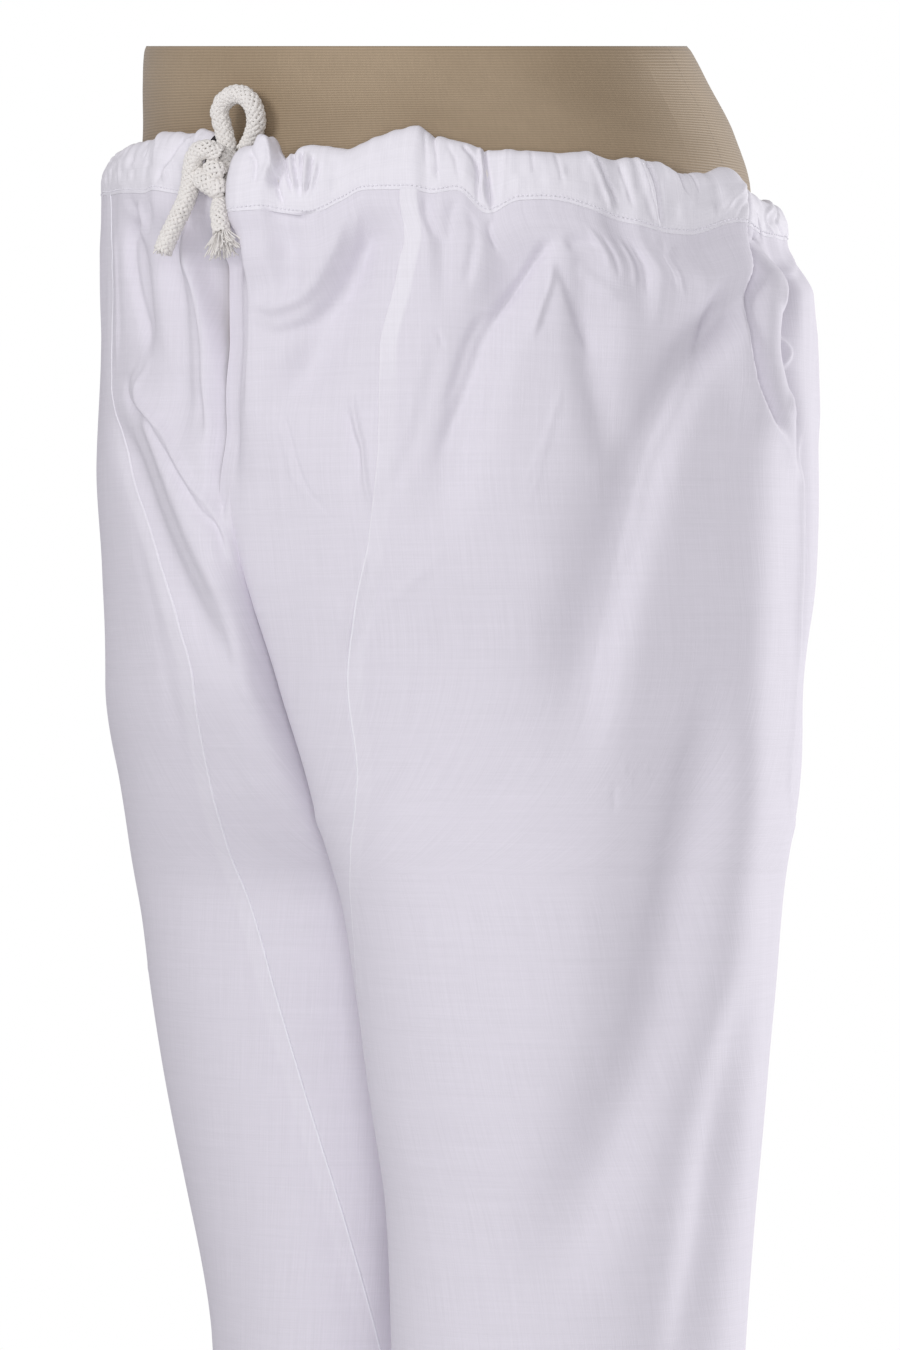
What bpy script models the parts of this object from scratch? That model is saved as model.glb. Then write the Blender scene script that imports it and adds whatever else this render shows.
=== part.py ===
"""White cotton Aligarhi pajama on a limbless dress form. Metres, +Z up, the wearer faces -Y.

Each half of the garment is one surface: a loft of level sections that runs from the centre
front, round the outside, to the centre back. Above the crotch a section is open, and below it
the section closes on itself at the inseam. The panels are cut out of that surface along the
seams. A place on it is (s, z): s goes from 0 at the front edge to 1 at the back edge, and z is
the height before the waist's droop.
"""

import math

import bmesh
import bpy
import numpy as np

# Heights above the floor
HEM_Z = 0.075
GARMENT_LENGTH = 1.020
WAIST_Z = HEM_Z + GARMENT_LENGTH
CASING_HEIGHT = 0.030
SEAM_GAP = 0.0003
CASING_GAP = 0.0006
PANEL_TOP_Z = WAIST_Z - CASING_HEIGHT - CASING_GAP
RISE_START_Z = 0.930
CROTCH_Z = 0.700
KALI_TIP_Z = 0.300
DROP_FADE_Z = 0.900

# Cloth
CLOTH = 0.0012
HEM_CLOTH = 0.0022
HEM_TURN_UP = 0.025
CORD_RADIUS = 0.0055
SQUEEZED_RADIUS = 0.0047

# Level sections of each half. The centre is measured outwards from the middle plane, and yaw
# turns the long axis from sideways towards the back. corner is the rounding where the section
# turns onto the middle plane.
SECTION_COLUMNS = ("z", "centre_x", "centre_y", "long", "short", "yaw", "corner")
LEFT_SECTIONS = (
    (1.095, 0.000, -0.0050, 0.2080, 0.1680, 0, 0.004),
    (1.040, 0.000, 0.0005, 0.2115, 0.1705, 0, 0.004),
    (0.980, 0.000, 0.0012, 0.2145, 0.1720, 0, 0.004),
    (0.920, 0.001, 0.0000, 0.2155, 0.1725, 0, 0.005),
    (0.860, 0.012, -0.0010, 0.2010, 0.1630, 6, 0.008),
    (0.800, 0.035, -0.0010, 0.1715, 0.1420, 16, 0.014),
    (0.744, 0.0635, -0.0020, 0.1445, 0.1220, 28, 0.018),
    (0.681, 0.0885, -0.0080, 0.1195, 0.1090, 38, 0.016),
    (0.626, 0.0944, -0.0106, 0.1116, 0.1030, 42, 0.014),
    (0.572, 0.0972, -0.0119, 0.1057, 0.0965, 44, 0.014),
    (0.517, 0.0978, -0.0108, 0.0996, 0.0900, 44, 0.014),
    (0.436, 0.0971, -0.0115, 0.0952, 0.0810, 44, 0.014),
    (0.300, 0.095, -0.0110, 0.0890, 0.0710, 44, 0.014),
    (0.150, 0.093, -0.0090, 0.0820, 0.0630, 44, 0.014),
    (0.075, 0.092, -0.0080, 0.0790, 0.0600, 44, 0.014),
)
RIGHT_SECTIONS = (
    (1.095, 0.000, -0.0050, 0.2080, 0.1680, 0, 0.004),
    (1.040, 0.000, 0.0005, 0.2115, 0.1705, 0, 0.004),
    (0.980, 0.000, 0.0012, 0.2145, 0.1720, 0, 0.004),
    (0.920, 0.001, 0.0000, 0.2155, 0.1725, 0, 0.005),
    (0.860, 0.012, 0.0000, 0.2030, 0.1700, 6, 0.007),
    (0.800, 0.035, 0.0020, 0.1720, 0.1640, 16, 0.009),
    (0.744, 0.062, 0.0040, 0.1470, 0.1420, 28, 0.012),
    (0.681, 0.090, 0.0060, 0.1170, 0.1145, 38, 0.014),
    (0.626, 0.093, 0.0070, 0.1120, 0.1060, 42, 0.014),
    (0.572, 0.095, 0.0075, 0.1075, 0.0960, 44, 0.014),
    (0.517, 0.095, 0.0075, 0.1045, 0.0854, 44, 0.014),
    (0.436, 0.096, 0.0075, 0.1000, 0.0714, 44, 0.014),
    (0.300, 0.096, 0.0070, 0.0930, 0.0650, 44, 0.014),
    (0.150, 0.094, 0.0060, 0.0840, 0.0600, 44, 0.014),
    (0.075, 0.092, 0.0050, 0.0800, 0.0585, 44, 0.014),
)
SECTIONS = {"left": LEFT_SECTIONS, "right": RIGHT_SECTIONS}

# How far the waist hangs below its highest point, along each half from front to back
DROP_COLUMNS = ("s", "left", "right")
WAIST_DROP = (
    (0.00, 0.014, 0.013),
    (0.10, 0.010, 0.009),
    (0.20, 0.010, 0.006),
    (0.35, 0.024, 0.007),
    (0.50, 0.029, 0.010),
    (0.62, 0.036, 0.016),
    (0.80, 0.036, 0.025),
    (1.00, 0.032, 0.032),
)

# The kali seams, as s. The back ones are measured from the back edge.
KALI_COLUMNS = ("z", "left", "right", "back")
KALI_SEAMS = (
    (1.065, 0.193, 0.225, 0.190),
    (1.010, 0.173, 0.205, 0.185),
    (0.976, 0.160, 0.205, 0.180),
    (0.925, 0.160, 0.172, 0.170),
    (0.875, 0.148, 0.120, 0.150),
    (0.832, 0.128, 0.095, 0.135),
    (0.800, 0.121, 0.097, 0.130),
    (0.748, 0.152, 0.137, 0.145),
    (0.709, 0.174, 0.172, 0.172),
    (0.683, 0.180, 0.183, 0.180),
    (0.616, 0.158, 0.158, 0.158),
    (0.517, 0.118, 0.118, 0.118),
    (0.440, 0.080, 0.080, 0.080),
    (0.300, 0.006, 0.006, 0.006),
)

# The casing: a drawstring channel, and its cross-section from the lower edge, up the outside
CASING_RING = (0.1945, 0.1545, -0.0090)
CASING_SLIT = {"left": 0.0205, "right": 0.0130}
FLAP_OUT = {"left": 0.0110, "right": 0.0}
FLAP_EDGE = 0.008
FLAP_CREST = 0.026
FLAP_REACH = 0.080
FLAP_LOW_Z = 1.010

# The deep crease down the centre front
VALLEY_DEPTH = 0.010
VALLEY_WIDTH = 0.013
VALLEY_LOW_Z = 0.940
CASING_COLUMNS = ("out", "up", "gather")
CASING_PROFILE = (
    (0.0062, 0.0000, 0.2),
    (0.0079, 0.0060, 0.7),
    (0.0084, 0.0145, 1.0),
    (0.0068, 0.0240, 1.0),
    (0.0000, 0.0300, 0.4),
    (-0.0064, 0.0242, 0.0),
    (-0.0076, 0.0145, 0.0),
    (-0.0046, 0.0056, 0.0),
    (0.0026, 0.0000, 0.2),
)
CASING_JOIN = 0.0058
JOIN_BLEND = 0.018

# The dress form: level ellipses
FORM_COLUMNS = ("z", "wide", "deep", "centre_y")
FORM_SECTIONS = (
    (0.840, 0.150, 0.118, -0.006),
    (0.843, 0.166, 0.131, -0.006),
    (0.852, 0.178, 0.141, -0.006),
    (0.880, 0.185, 0.147, -0.007),
    (0.960, 0.1855, 0.1468, -0.008),
    (1.020, 0.1849, 0.1463, -0.009),
    (1.062, 0.1842, 0.1458, -0.0090),
    (1.095, 0.1775, 0.1408, -0.0130),
    (1.125, 0.1705, 0.1328, -0.0230),
    (1.1432, 0.1660, 0.1265, -0.0290),
    (1.1462, 0.1642, 0.1247, -0.0300),
)
# The form's top leans: it is lower towards the front and towards the wearer's left
FORM_LEAN = (-0.068, 0.0704)
FORM_LEAN_Z = 1.060
POLE_X = -0.085
POLE_RADIUS = 0.0125
BASE_RADIUS = 0.190
BASE_THICK = 0.012
COLLAR_RADIUS = 0.026
COLLAR_HEIGHT = 0.018

# The drawstring: how far up the casing its middle lies, and where it leaves the channel
CHANNEL_UP = 0.0145
CHANNEL_ENDS = {"left": 0.036, "right": 0.024}

# The knot's bands and the free cord's routes, in metres, each down the middle of the cord
KNOT_RADIUS = {"core": 0.0070, "upper_band": 0.0058, "lower_band": 0.0062}
KNOT_BANDS = {
    "core": ((-0.0020, -0.1690, 1.0800), (-0.0010, -0.1700, 1.0664), (0.0005, -0.1710, 1.0590)),
    "upper_band": ((-0.0060, -0.1765, 1.0705), (0.0000, -0.1790, 1.0685), (0.0050, -0.1770, 1.0655)),
    "lower_band": ((-0.0125, -0.1770, 1.0655), (-0.0040, -0.1800, 1.0620), (0.0040, -0.1770, 1.0590)),
}
CORD_ROUTES = {
    "drawstring_long_end": (
        (0.0015, -0.1765, 1.0765),
        (-0.0045, -0.1812, 1.0798),
        (-0.0100, -0.1825, 1.0782),
        (-0.0136, -0.1822, 1.0732),
        (-0.0155, -0.1815, 1.0660),
        (-0.0180, -0.1818, 1.0560),
        (-0.0218, -0.1845, 1.0455),
        (-0.0275, -0.1862, 1.0350),
        (-0.0315, -0.1868, 1.0275),
    ),
    "drawstring_loop": (
        (-0.0045, -0.1665, 1.0790),
        (-0.0060, -0.1665, 1.0870),
        (-0.0083, -0.1672, 1.0950),
        (-0.0095, -0.1680, 1.1035),
        (-0.0032, -0.1670, 1.1102),
        (0.0060, -0.1660, 1.1115),
        (0.0133, -0.1645, 1.1064),
        (0.0152, -0.1625, 1.0974),
        (0.0112, -0.1614, 1.0875),
        (0.0050, -0.1620, 1.0790),
    ),
    "drawstring_short_end": (
        (0.0005, -0.1710, 1.0600),
        (0.0025, -0.1765, 1.0520),
        (0.0070, -0.1825, 1.0460),
        (0.0105, -0.1852, 1.0405),
        (0.0120, -0.1858, 1.0350),
    ),
}
FRAY_HEAD = ((0.0124, -0.1859, 1.0335), (0.0130, -0.1860, 1.0296))
FRAY_STRANDS = 18
FRAY_LENGTH = 0.0200
FRAY_FLARE = 0.0042


def column(rows, names, name):
    """One named column of a table, as an array."""
    return np.array([row[names.index(name)] for row in rows], float)


def smooth(at, xs, ys):
    """A curve through the points xs, ys, read at the places at, that doesn't overshoot them."""
    order = np.argsort(xs)
    xs, ys = np.asarray(xs, float)[order], np.asarray(ys, float)[order]
    at = np.clip(at, xs[0], xs[-1])
    step = np.diff(xs)
    slope = np.diff(ys) / step
    tangent = np.zeros(len(xs))
    total = slope[:-1] + slope[1:]
    same_way = slope[:-1] * slope[1:] > 0
    tangent[1:-1] = np.where(same_way, 2 * slope[:-1] * slope[1:] / np.where(same_way, total, 1), 0)
    tangent[0], tangent[-1] = slope[0], slope[-1]
    i = np.clip(np.searchsorted(xs, at, side="right") - 1, 0, len(xs) - 2)
    t = (at - xs[i]) / step[i]
    return (
        (2 * t**3 - 3 * t**2 + 1) * ys[i]
        + (t**3 - 2 * t**2 + t) * step[i] * tangent[i]
        + (3 * t**2 - 2 * t**3) * ys[i + 1]
        + (t**3 - t**2) * step[i] * tangent[i + 1]
    )


def ease(x):
    """0 below 0, 1 above 1, and a soft step between them."""
    x = np.clip(x, 0, 1)
    return x * x * (3 - 2 * x)


def even(points, count):
    """Points spaced evenly along a line of points, and its length."""
    along = np.concatenate([[0], np.cumsum(np.linalg.norm(np.diff(points, axis=0), axis=1))])
    at = np.linspace(0, along[-1], count)
    return np.stack([np.interp(at, along, points[:, k]) for k in range(2)], axis=1), along[-1]


SAMPLES = 481


def plain_ellipse(side, z):
    """One half's section as an ellipse, from its inner side, by the front, to its inner side."""
    rows = SECTIONS[side]
    heights = column(rows, SECTION_COLUMNS, "z")
    values = {
        name: float(smooth(z, heights, column(rows, SECTION_COLUMNS, name)))
        for name in SECTION_COLUMNS[1:]
    }
    yaw = math.radians(values["yaw"])
    turn = np.linspace(-math.pi, math.pi, 721) - yaw
    x = values["long"] * np.cos(turn)
    y = values["short"] * np.sin(turn)
    points = np.stack(
        [
            values["centre_x"] + x * math.cos(yaw) - y * math.sin(yaw),
            values["centre_y"] + x * math.sin(yaw) + y * math.cos(yaw),
        ],
        axis=1,
    )
    return points, values["corner"]


def crossings(points):
    """Where a section meets the middle plane in front and behind, or None where it stays clear."""
    inside = np.where(points[:, 0] <= 0)[0]
    if len(inside) == 0:
        return None
    front = inside[inside < len(points) // 2].max() if (inside < len(points) // 2).any() else 0
    back = inside[inside > len(points) // 2].min() if (inside > len(points) // 2).any() else len(points) - 1
    return front, back


def rise_share(z):
    """How far forward and back the rise seam lies, as a share of the body's depth."""
    below = np.clip((RISE_START_Z - z) / (RISE_START_Z - CROTCH_Z), 0, 1)
    return math.sqrt(1 - below**2)


def rise_depth(z):
    """The rise seam's y in front and behind at one height, the same for both halves."""
    fronts, backs = [], []
    for side in SECTIONS:
        points, _ = plain_ellipse(side, z)
        front, back = crossings(points)
        fronts.append(points[front, 1])
        backs.append(points[back, 1])
    return rise_share(z) * np.mean(fronts), rise_share(z) * np.mean(backs)


def rounded(points, radius, length, closed):
    """The line with its corners rounded and its ends kept."""
    step = length / (len(points) - 1)
    reach = int(3 * radius / step) + 1
    offsets = np.arange(-reach, reach + 1)
    weights = np.exp(-0.5 * (offsets * step / radius) ** 2)
    weights /= weights.sum()
    if closed:
        padded = np.concatenate([points[-reach - 1 : -1], points, points[1 : reach + 1]])
    else:
        padded = np.concatenate(
            [
                2 * points[0] - points[reach:0:-1],
                points,
                2 * points[-1] - points[-2 : -reach - 2 : -1],
            ]
        )
    return np.stack([np.convolve(padded[:, k], weights, mode="valid") for k in range(2)], axis=1)


SECTION_CACHE = {}


def section(side, z):
    """One half's level line as evenly spaced points, and its length. x is outwards."""
    key = (side, round(float(z), 6))
    if key in SECTION_CACHE:
        return SECTION_CACHE[key]
    points, corner = plain_ellipse(side, z)
    found = crossings(points)
    closed = z <= CROTCH_Z
    if found is None:
        nearest = np.argmin(np.abs(points[:90, 1])), len(points) - 1 - np.argmin(np.abs(points[:-91:-1, 1]))
        line = points[nearest[0] :] if points[0, 1] > 0 else points[: nearest[1] + 1]
        rest = points[1 : nearest[0] + 1] if points[0, 1] > 0 else points[nearest[1] : -1]
        line = np.concatenate([line, rest] if points[0, 1] > 0 else [rest, line])
    else:
        front, back = found
        middle = np.maximum(points[front : back + 1], 0) * [1, 0] + points[front : back + 1] * [0, 1]
        ends = (0.0, 0.0) if closed else rise_depth(z)
        line = np.concatenate([[[0, ends[0]]], middle, [[0, ends[1]]]])
    line, length = even(line, SAMPLES)
    line = rounded(line, corner, length, closed)
    line, length = even(line, SAMPLES)
    line[:, 0] = np.maximum(line[:, 0], 0) + SEAM_GAP / 2
    SECTION_CACHE[key] = (line, length)
    return SECTION_CACHE[key]


WHOLE_CACHE = {}


def whole(side, z):
    """How much of a closed level line the rise seam leaves out in front, and its full length.

    The missing stretches run along the middle plane, so places keep their share of the full
    line on both sides of the crotch.
    """
    key = (side, round(float(z), 6))
    if key not in WHOLE_CACHE:
        _, length = section(side, z)
        front, back = (0.0, 0.0) if z <= CROTCH_Z else rise_depth(z)
        WHOLE_CACHE[key] = (abs(front), abs(front) + length + abs(back), length)
    return WHOLE_CACHE[key]


def full_share(side, s, z):
    """The share of the full closed line at which s lies."""
    left_out, total, length = whole(side, z)
    return (left_out + s * length) / total


def read(line, s):
    """The point at s along evenly spaced points."""
    at = np.clip(s, 0, 1) * (len(line) - 1)
    return np.stack([np.interp(at, np.arange(len(line)), line[:, k]) for k in range(2)], axis=-1)


def outward(line, s):
    """The level direction away from the leg at s."""
    step = 0.004
    way = read(line, np.minimum(s + step, 1)) - read(line, np.maximum(s - step, 0))
    way /= np.linalg.norm(way, axis=-1, keepdims=True)
    return np.stack([way[..., 1], -way[..., 0]], axis=-1)


RING_CACHE = {}


def flap(side, along):
    """How far the wearer's left half stands forward beside the knot, at a way from the front."""
    rise = ease((along - FLAP_EDGE) / (FLAP_CREST - FLAP_EDGE))
    fall = 1 - ease((along - FLAP_CREST) / (FLAP_REACH - FLAP_CREST))
    return FLAP_OUT[side] * rise * fall


def casing_ring(side):
    """The casing's centre line on one half, from the front to the back, and its length.

    The wearer's left half stands forward at the front, over the knot.
    """
    if side in RING_CACHE:
        return RING_CACHE[side]
    wide, deep, centre = CASING_RING
    turn = np.linspace(-math.pi / 2, math.pi / 2, 721)
    points = np.stack([wide * np.cos(turn), centre + deep * np.sin(turn)], axis=1)
    line, length = even(points, SAMPLES)
    along = np.linspace(0, length, SAMPLES)
    line[:, 1] -= flap(side, along)
    line[:, 0] += SEAM_GAP / 2
    RING_CACHE[side] = (line, length)
    return RING_CACHE[side]


def drop(side, s):
    """How far the waist hangs at s."""
    return smooth(s, column(WAIST_DROP, DROP_COLUMNS, "s"), column(WAIST_DROP, DROP_COLUMNS, side))


# Gathers: a row for each crest or pinch of the waistband, at s along its half. top and stitch lift
# the waistband's two edges there, and out is 1 on a full crest and 0 in a deep pinch.
GATHER_COLUMNS = ("s", "top", "stitch", "out")
GATHERS = {
    "left": (
        (0.000, -0.0030, -0.0060, 0.50),
        (0.040, -0.0010, -0.0065, 0.75),
        (0.060, -0.0005, -0.0070, 0.90),
        (0.078, -0.0085, -0.0095, 0.15),
        (0.100, -0.0055, -0.0115, 0.75),
        (0.132, -0.0088, -0.0045, 0.25),
        (0.160, -0.0035, 0.0008, 0.70),
        (0.205, 0.0028, 0.0002, 1.00),
        (0.220, -0.0020, -0.0010, 0.35),
        (0.246, -0.0026, 0.0022, 0.60),
        (0.270, -0.0042, -0.0066, 0.00),
        (0.300, -0.0008, 0.0036, 0.75),
        (0.335, 0.0014, 0.0072, 1.00),
        (0.363, 0.0030, 0.0046, 0.75),
        (0.390, 0.0004, 0.0000, 0.25),
        (0.408, 0.0026, -0.0016, 0.80),
        (0.440, 0.0008, -0.0042, 0.50),
        (0.462, -0.0028, -0.0038, 0.20),
        (0.510, -0.0014, 0.0056, 0.90),
        (0.545, -0.0014, 0.0068, 0.45),
        (0.570, -0.0035, 0.0058, 0.05),
        (0.602, -0.0050, 0.0064, 0.85),
        (0.660, -0.0052, 0.0076, 0.55),
        (0.700, -0.0034, 0.0030, 0.15),
        (0.742, 0.0010, -0.0028, 0.90),
        (0.782, -0.0022, 0.0034, 0.10),
        (0.826, 0.0020, -0.0020, 0.80),
        (0.862, -0.0012, 0.0026, 0.25),
        (0.908, 0.0014, -0.0036, 0.95),
        (0.950, -0.0020, 0.0014, 0.10),
        (1.000, 0.0000, 0.0000, 0.60),
    ),
    "right": (
        (0.000, -0.0010, 0.0020, 0.40),
        (0.040, 0.0086, 0.0052, 0.95),
        (0.066, 0.0058, 0.0050, 0.35),
        (0.100, 0.0068, 0.0068, 1.00),
        (0.125, 0.0038, 0.0052, 0.60),
        (0.170, 0.0012, 0.0054, 0.85),
        (0.220, -0.0008, 0.0060, 0.50),
        (0.268, -0.0021, 0.0078, 0.70),
        (0.312, -0.0040, 0.0030, 0.05),
        (0.360, 0.0016, -0.0018, 0.90),
        (0.402, -0.0024, 0.0032, 0.15),
        (0.436, 0.0010, 0.0040, 0.75),
        (0.482, -0.0014, -0.0040, 0.30),
        (0.530, 0.0022, 0.0008, 1.00),
        (0.574, -0.0030, -0.0050, 0.00),
        (0.618, 0.0006, 0.0044, 0.80),
        (0.664, -0.0018, 0.0010, 0.30),
        (0.702, 0.0016, -0.0030, 0.90),
        (0.752, -0.0026, 0.0036, 0.05),
        (0.806, 0.0018, 0.0012, 0.85),
        (0.850, -0.0010, -0.0032, 0.20),
        (0.896, 0.0014, 0.0026, 0.90),
        (0.944, -0.0022, -0.0018, 0.15),
        (1.000, 0.0000, 0.0000, 0.60),
    ),
}
GATHER_OUT = 0.0042
GATHER_BELOW = 0.0100
GATHER_LENGTH = 0.085
STITCH_FADE = 0.070


def gathered(side, s, name):
    """One column of the gathers' table, read between its rows."""
    rows = GATHERS[side]
    return smooth(s, column(rows, GATHER_COLUMNS, "s"), column(rows, GATHER_COLUMNS, name))


def gather(side, s):
    """The gathers' wave at s: 1 on a full crest, and 0 in a deep pinch."""
    return gathered(side, s, "out")


def stitch_height(side, s):
    """The height of the stitch line under the waistband at s."""
    return PANEL_TOP_Z + CASING_GAP - drop(side, s) + gathered(side, s, "stitch")


def waist_height(side, s):
    """The height of the waistband's upper edge at s."""
    return WAIST_Z - drop(side, s) + gathered(side, s, "top")


# Large folds. Each runs down one half through three places, and stands out or sinks in by depth.
# front and back are its half widths on its two sides.
FOLD_COLUMNS = ("half", "s1", "z1", "s2", "z2", "s3", "z3", "depth", "front", "back")
FOLDS = (
    # the wearer's left half, front and side
    ("left", 0.070, 1.062, 0.052, 1.015, 0.030, 0.900, 0.0065, 0.025, 0.028),
    ("left", 0.180, 1.064, 0.130, 1.020, 0.060, 0.930, -0.0084, 0.012, 0.020),
    ("left", 0.323, 1.062, 0.262, 0.995, 0.212, 0.860, -0.0084, 0.018, 0.012),
    ("left", 0.338, 1.062, 0.342, 1.000, 0.362, 0.900, -0.0052, 0.010, 0.014),
    ("left", 0.537, 1.064, 0.420, 0.960, 0.350, 0.740, -0.0123, 0.024, 0.012),
    ("left", 0.505, 1.020, 0.507, 0.800, 0.570, 0.500, 0.0065, 0.024, 0.024),
    ("left", 0.475, 0.830, 0.462, 0.640, 0.345, 0.440, -0.0111, 0.028, 0.022),
    ("left", 0.550, 0.660, 0.530, 0.545, 0.505, 0.400, -0.0065, 0.016, 0.018),
    ("left", 0.555, 1.064, 0.520, 0.990, 0.572, 0.900, 0.0078, 0.014, 0.008),
    ("left", 0.590, 1.064, 0.558, 0.985, 0.590, 0.900, -0.0091, 0.009, 0.012),
    # the wearer's left half, behind
    ("left", 0.720, 1.062, 0.755, 0.970, 0.800, 0.830, -0.0097, 0.016, 0.020),
    ("left", 0.800, 1.062, 0.835, 0.980, 0.850, 0.870, 0.0059, 0.020, 0.020),
    ("left", 0.900, 1.062, 0.925, 0.960, 0.945, 0.850, -0.0065, 0.016, 0.016),
    ("left", 0.700, 0.830, 0.775, 0.720, 0.850, 0.590, -0.0097, 0.020, 0.024),
    ("left", 0.780, 0.520, 0.720, 0.380, 0.650, 0.200, -0.0072, 0.020, 0.018),
    ("left", 0.240, 0.430, 0.300, 0.290, 0.380, 0.140, -0.0065, 0.018, 0.020),
    # the wearer's right half, front and side
    ("right", 0.018, 1.064, 0.014, 1.000, 0.010, 0.860, -0.0156, 0.008, 0.010),
    ("right", 0.050, 1.050, 0.045, 0.990, 0.038, 0.930, 0.0052, 0.012, 0.012),
    ("right", 0.110, 1.064, 0.066, 1.000, 0.055, 0.915, -0.0084, 0.012, 0.014),
    ("right", 0.168, 1.064, 0.130, 1.020, 0.120, 0.970, -0.0059, 0.010, 0.014),
    ("right", 0.150, 0.975, 0.070, 0.910, 0.012, 0.800, 0.0059, 0.014, 0.010),
    ("right", 0.190, 0.950, 0.110, 0.885, 0.050, 0.790, -0.0072, 0.014, 0.016),
    ("right", 0.480, 1.062, 0.400, 0.950, 0.350, 0.760, -0.0104, 0.022, 0.014),
    ("right", 0.520, 1.000, 0.520, 0.800, 0.560, 0.540, 0.0059, 0.026, 0.022),
    ("right", 0.440, 0.760, 0.460, 0.600, 0.400, 0.400, -0.0084, 0.026, 0.020),
    # the wearer's right half, behind
    ("right", 0.660, 1.062, 0.690, 0.975, 0.745, 0.830, -0.0091, 0.018, 0.018),
    ("right", 0.770, 1.062, 0.790, 0.990, 0.820, 0.890, 0.0052, 0.018, 0.020),
    ("right", 0.870, 1.062, 0.900, 0.970, 0.930, 0.860, -0.0072, 0.016, 0.016),
    ("right", 0.650, 0.800, 0.740, 0.700, 0.830, 0.560, -0.0091, 0.022, 0.022),
    ("right", 0.800, 0.470, 0.740, 0.340, 0.700, 0.180, -0.0065, 0.018, 0.018),
    ("right", 0.300, 0.400, 0.330, 0.270, 0.420, 0.130, -0.0065, 0.018, 0.020),
)


def fold_depth(side, s, z):
    """How far the folds move the cloth outwards at one place."""
    out = np.zeros(np.broadcast(s, z).shape)
    for row in FOLDS:
        fold = dict(zip(FOLD_COLUMNS, row))
        if fold["half"] != side:
            continue
        heights = [fold[name] for name in ("z3", "z2", "z1")]
        shares = [full_share(side, fold[name], at) for name, at in zip(("s3", "s2", "s1"), heights)]
        away = (full_share(side, s, z) - smooth(z, heights, shares)) * whole(side, z)[1]
        width = np.where(away < 0, fold["front"], fold["back"])
        reach = fold["z1"] - fold["z3"]
        share = (z - fold["z3"]) / reach
        fade = ease(share / 0.3) * ease((1.0 - share) / 0.25 + 0.15)
        out = out + fold["depth"] * fade * np.exp(-((away / width) ** 2))
    return out


def flat_point(side, s, z):
    """The cloth's outer side at (s, z) on one half: x outwards, y and height."""
    s = np.clip(s, 0, 1)
    line, length = section(side, z)
    point = read(line, s)
    way = outward(line, s)
    ring, _ = casing_ring(side)
    up = (z - (PANEL_TOP_Z - JOIN_BLEND)) / JOIN_BLEND
    mix = ease(up) ** 2
    below = ease((z - (PANEL_TOP_Z - GATHER_LENGTH)) / GATHER_LENGTH)
    out = fold_depth(side, s, z) * ease(point[..., 0] / 0.010)
    out = out + GATHER_BELOW * below * (1 - 0.55 * mix) * (gather(side, s) - 0.4)
    away = np.exp(-((s * length / VALLEY_WIDTH) ** 2))
    out = out - VALLEY_DEPTH * away * ease((z - VALLEY_LOW_Z) / 0.050) * (1 - mix)
    forward = ease((z - FLAP_LOW_Z) / (PANEL_TOP_Z - FLAP_LOW_Z)) * (1 - mix)
    out = out + forward * flap(side, s * length)
    point = point + out[..., None] * way
    wave = GATHER_OUT * 0.2 * (gather(side, s) - 0.35)
    seat = read(ring, s) + (CASING_JOIN + wave)[..., None] * outward(ring, s)
    point = (1 - mix) * point + mix * seat
    x = np.maximum(point[..., 0], SEAM_GAP / 2)
    hang = drop(side, s) * ease((z - DROP_FADE_Z) / (PANEL_TOP_Z - DROP_FADE_Z))
    hang = hang - gathered(side, s, "stitch") * ease((z - PANEL_TOP_Z + STITCH_FADE) / STITCH_FADE)
    return np.stack([x, point[..., 1], z - hang], axis=-1)


def surface(side, s, z):
    """Points at the places s on the level z, in the garment's frame."""
    point = flat_point(side, np.asarray(s, float), float(z))
    if side == "right":
        point = point * [-1, 1, 1]
    return point


def inwards(side, s, z, closed):
    """The direction through the cloth, from its outer side to its inner side."""
    s = np.asarray(s, float)
    step = 0.003
    if closed:
        ahead, behind = (s + step) % 1.0, (s - step) % 1.0
    else:
        ahead, behind = np.minimum(s + step, 1), np.maximum(s - step, 0)
    along = surface(side, ahead, z) - surface(side, behind, z)
    rise = 0.004
    high, low = min(z + rise, PANEL_TOP_Z), max(z - rise, HEM_Z)
    if low < CROTCH_Z <= high:
        high, low = (z + rise, z + 0.0005) if z > CROTCH_Z else (z, z - rise)
    up = surface(side, s, high) - surface(side, s, low)
    across = np.cross(along, up)
    across /= np.linalg.norm(across, axis=-1, keepdims=True)
    return -across if side == "left" else across


def place(collection, name, mesh, material):
    obj = bpy.data.objects.new(name, mesh)
    mesh.materials.clear()
    mesh.materials.append(material)
    collection.objects.link(obj)
    return obj


def finish(material, colour, roughness, metallic=0.0):
    made = bpy.data.materials.new(material)
    made.use_nodes = True
    shader = made.node_tree.nodes["Principled BSDF"]
    shader.inputs["Base Color"].default_value = (*colour, 1)
    shader.inputs["Roughness"].default_value = roughness
    shader.inputs["Metallic"].default_value = metallic
    return made


def mesh_of(name, points, faces, sharp=40):
    mesh = bpy.data.meshes.new(name)
    mesh.from_pydata([tuple(p) for p in points], [], faces)
    model = bmesh.new()
    model.from_mesh(mesh)
    bmesh.ops.recalc_face_normals(model, faces=model.faces)
    model.to_mesh(mesh)
    model.free()
    mesh.shade_smooth()
    mesh.set_sharp_from_angle(angle=math.radians(sharp))
    return mesh


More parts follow.
